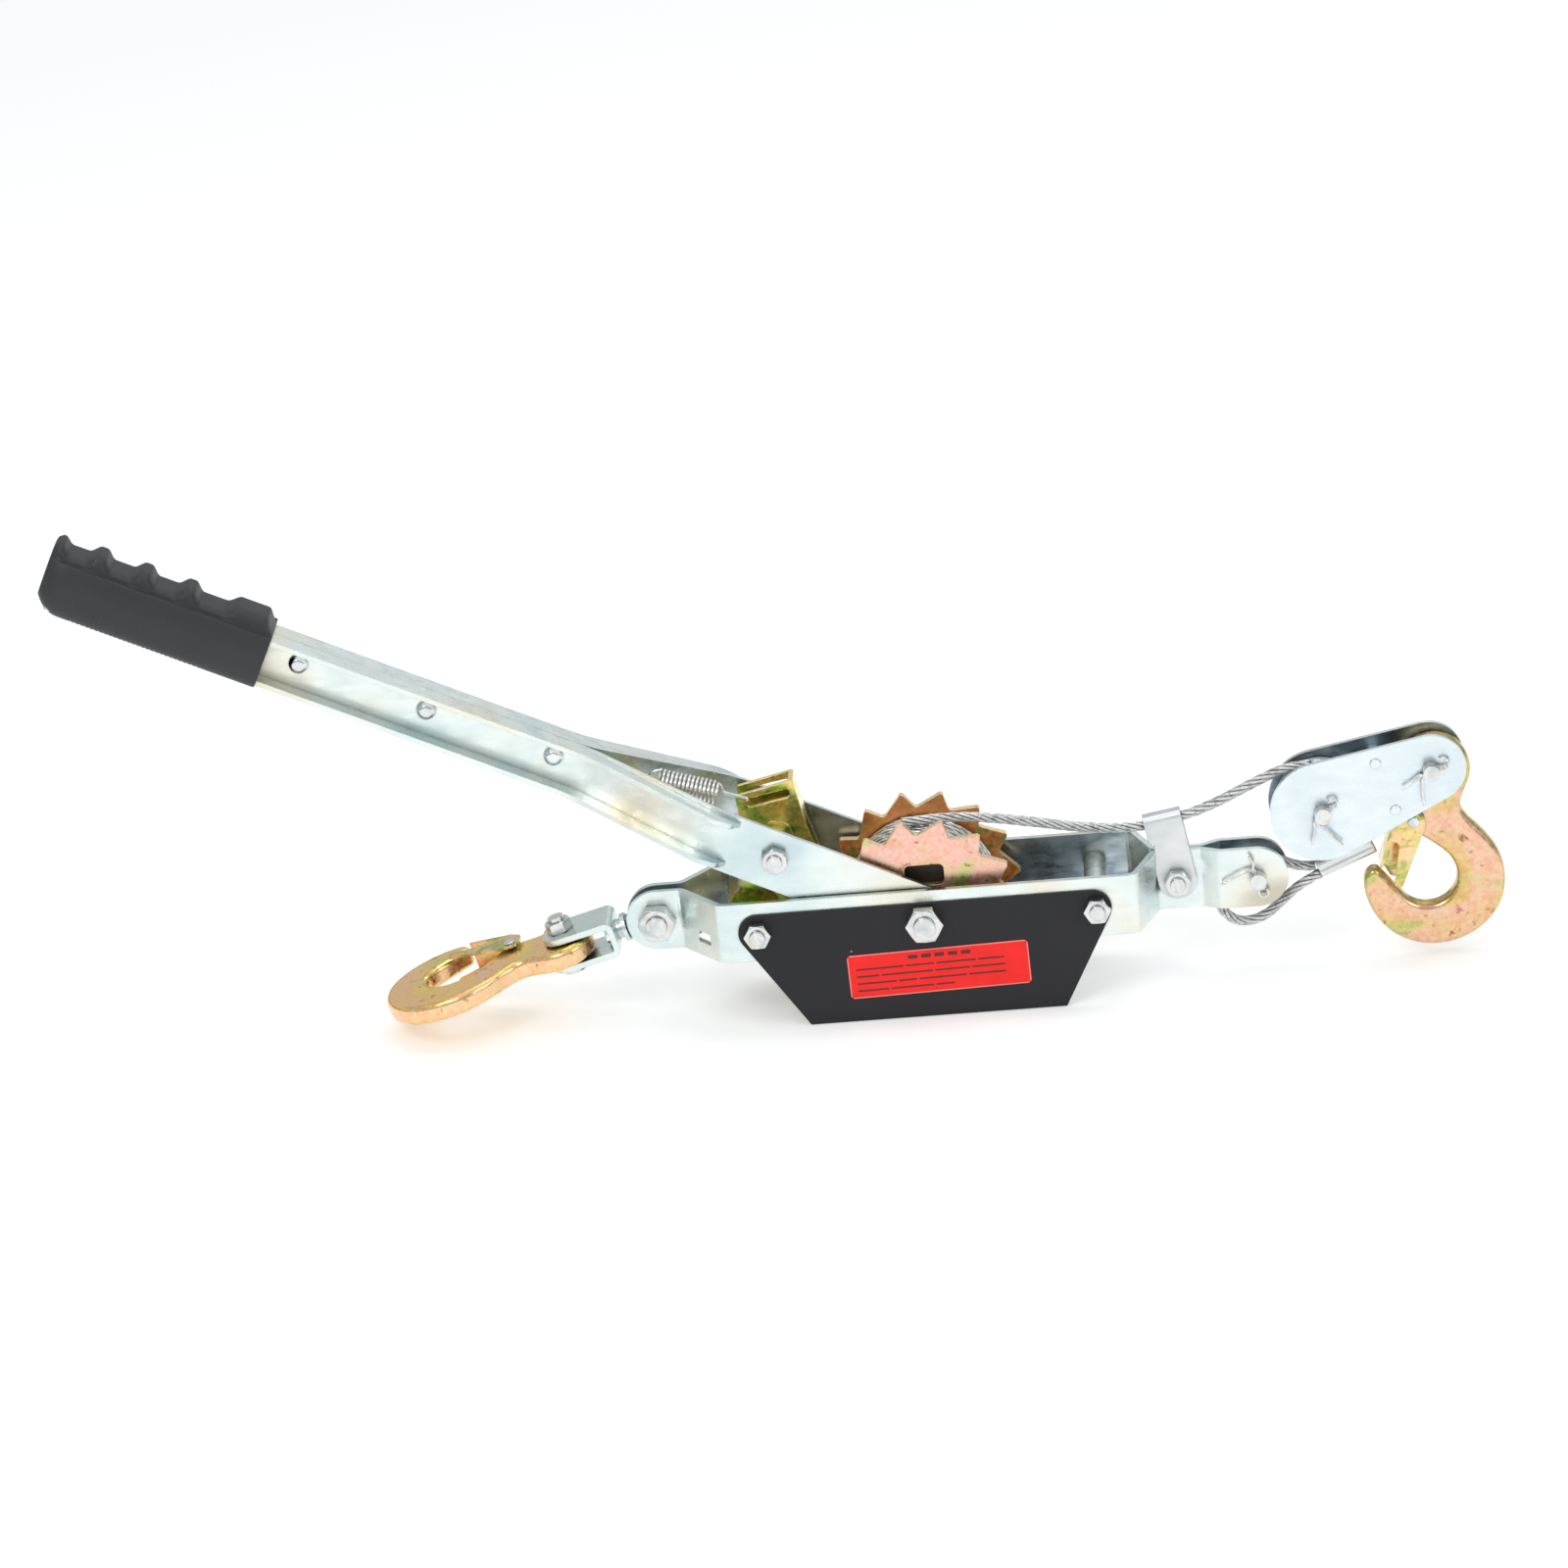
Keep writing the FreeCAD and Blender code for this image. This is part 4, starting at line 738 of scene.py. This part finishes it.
# the closed end is slightly domed, and the open end turns in to the lever
for scale, shift in ((0.93, 0.45), (0.6, 0.6)):
    first = len(points)
    grip_ring(GRIP_END, GRIP_END + shift, scale, 2)
    bridge(faces, last, first, count)
    last = first
cap(faces, last, count)
last = 0
for scale, shift in ((0.965, 0.5), (0.93, 0.1), (0.86, -3.0), (0.84, -14.0)):
    first = len(points)
    grip_ring(GRIP_START, GRIP_START - shift * 0.9, scale, 1.5)
    bridge(faces, first, last, count)
    last = first
grip_cover = piece("rubber_grip", points, faces, rubber)
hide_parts("grip")
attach(grip_cover, "lever")

# ---- floor and light

floor_mesh = bpy.data.meshes.new("floor")
FLOOR_Z = -0.0004
floor_mesh.from_pydata([(-20, -20, FLOOR_Z), (20, -20, FLOOR_Z), (20, 30, FLOOR_Z),
                        (-20, 30, FLOOR_Z)], [], [(0, 1, 2, 3)])
floor = bpy.data.objects.new("floor", floor_mesh)
bpy.context.scene.collection.objects.link(floor)
floor_coat, tree, shader = material("pale_floor", 0.0, 0.9)
shader.inputs["Base Color"].default_value = (0.93, 0.93, 0.93, 1)
shader.inputs["Specular IOR Level"].default_value = 0.1
shader.inputs["Emission Color"].default_value = (1, 1, 1, 1)
shader.inputs["Emission Strength"].default_value = 0.26
floor_mesh.materials.append(floor_coat)

world = bpy.data.worlds.new("studio")
world.use_nodes = True
bpy.context.scene.world = world
sky = world.node_tree
direction = sky.nodes.new("ShaderNodeTexCoord")
split = sky.nodes.new("ShaderNodeSeparateXYZ")
sky.links.new(direction.outputs["Generated"], split.inputs["Vector"])
# a bright ceiling with a greyer wall behind it, so that the plating has something to mirror
sky.links.new(ramp(sky, split.outputs["Z"], [(0.0, (0.30, 0.33, 0.35)), (0.14, (0.46, 0.50, 0.52)),
                                            (0.27, (0.72, 0.76, 0.78)), (0.40, (0.80, 0.83, 0.84)),
                                            (0.52, (0.40, 0.43, 0.45)), (0.66, (0.62, 0.65, 0.67)),
                                            (0.85, (0.95, 0.97, 0.98))]),
              sky.nodes["Background"].inputs["Color"])
sky.nodes["Background"].inputs["Strength"].default_value = 0.85


def lamp(name, place, size_x, size_y, power, colour=(1, 1, 1)):
    """A rectangular lamp that looks at the winch."""
    data = bpy.data.lights.new(name, "AREA")
    data.shape = "RECTANGLE"
    data.size, data.size_y = size_x, size_y
    data.energy = power
    data.color = colour
    made = bpy.data.objects.new(name, data)
    bpy.context.scene.collection.objects.link(made)
    made.location = place
    made.rotation_mode = "QUATERNION"
    made.rotation_quaternion = (Vector((0, 0, 0.05)) - Vector(place)).to_track_quat("-Z", "Y")


lamp("key", (-0.9, -1.6, 1.9), 1.2, 0.8, 13, (1.0, 0.98, 0.95))
lamp("fill", (1.6, -1.4, 1.2), 0.9, 0.9, 7, (0.94, 0.97, 1.0))
lamp("top", (0.1, 0.3, 2.2), 2.0, 0.6, 7)
lamp("rim", (0.8, 1.9, 1.5), 1.4, 0.4, 3)

bpy.context.scene.view_settings.view_transform = "Standard"
bpy.context.scene.view_settings.look = "None"
bpy.context.scene.view_settings.exposure = 0.0
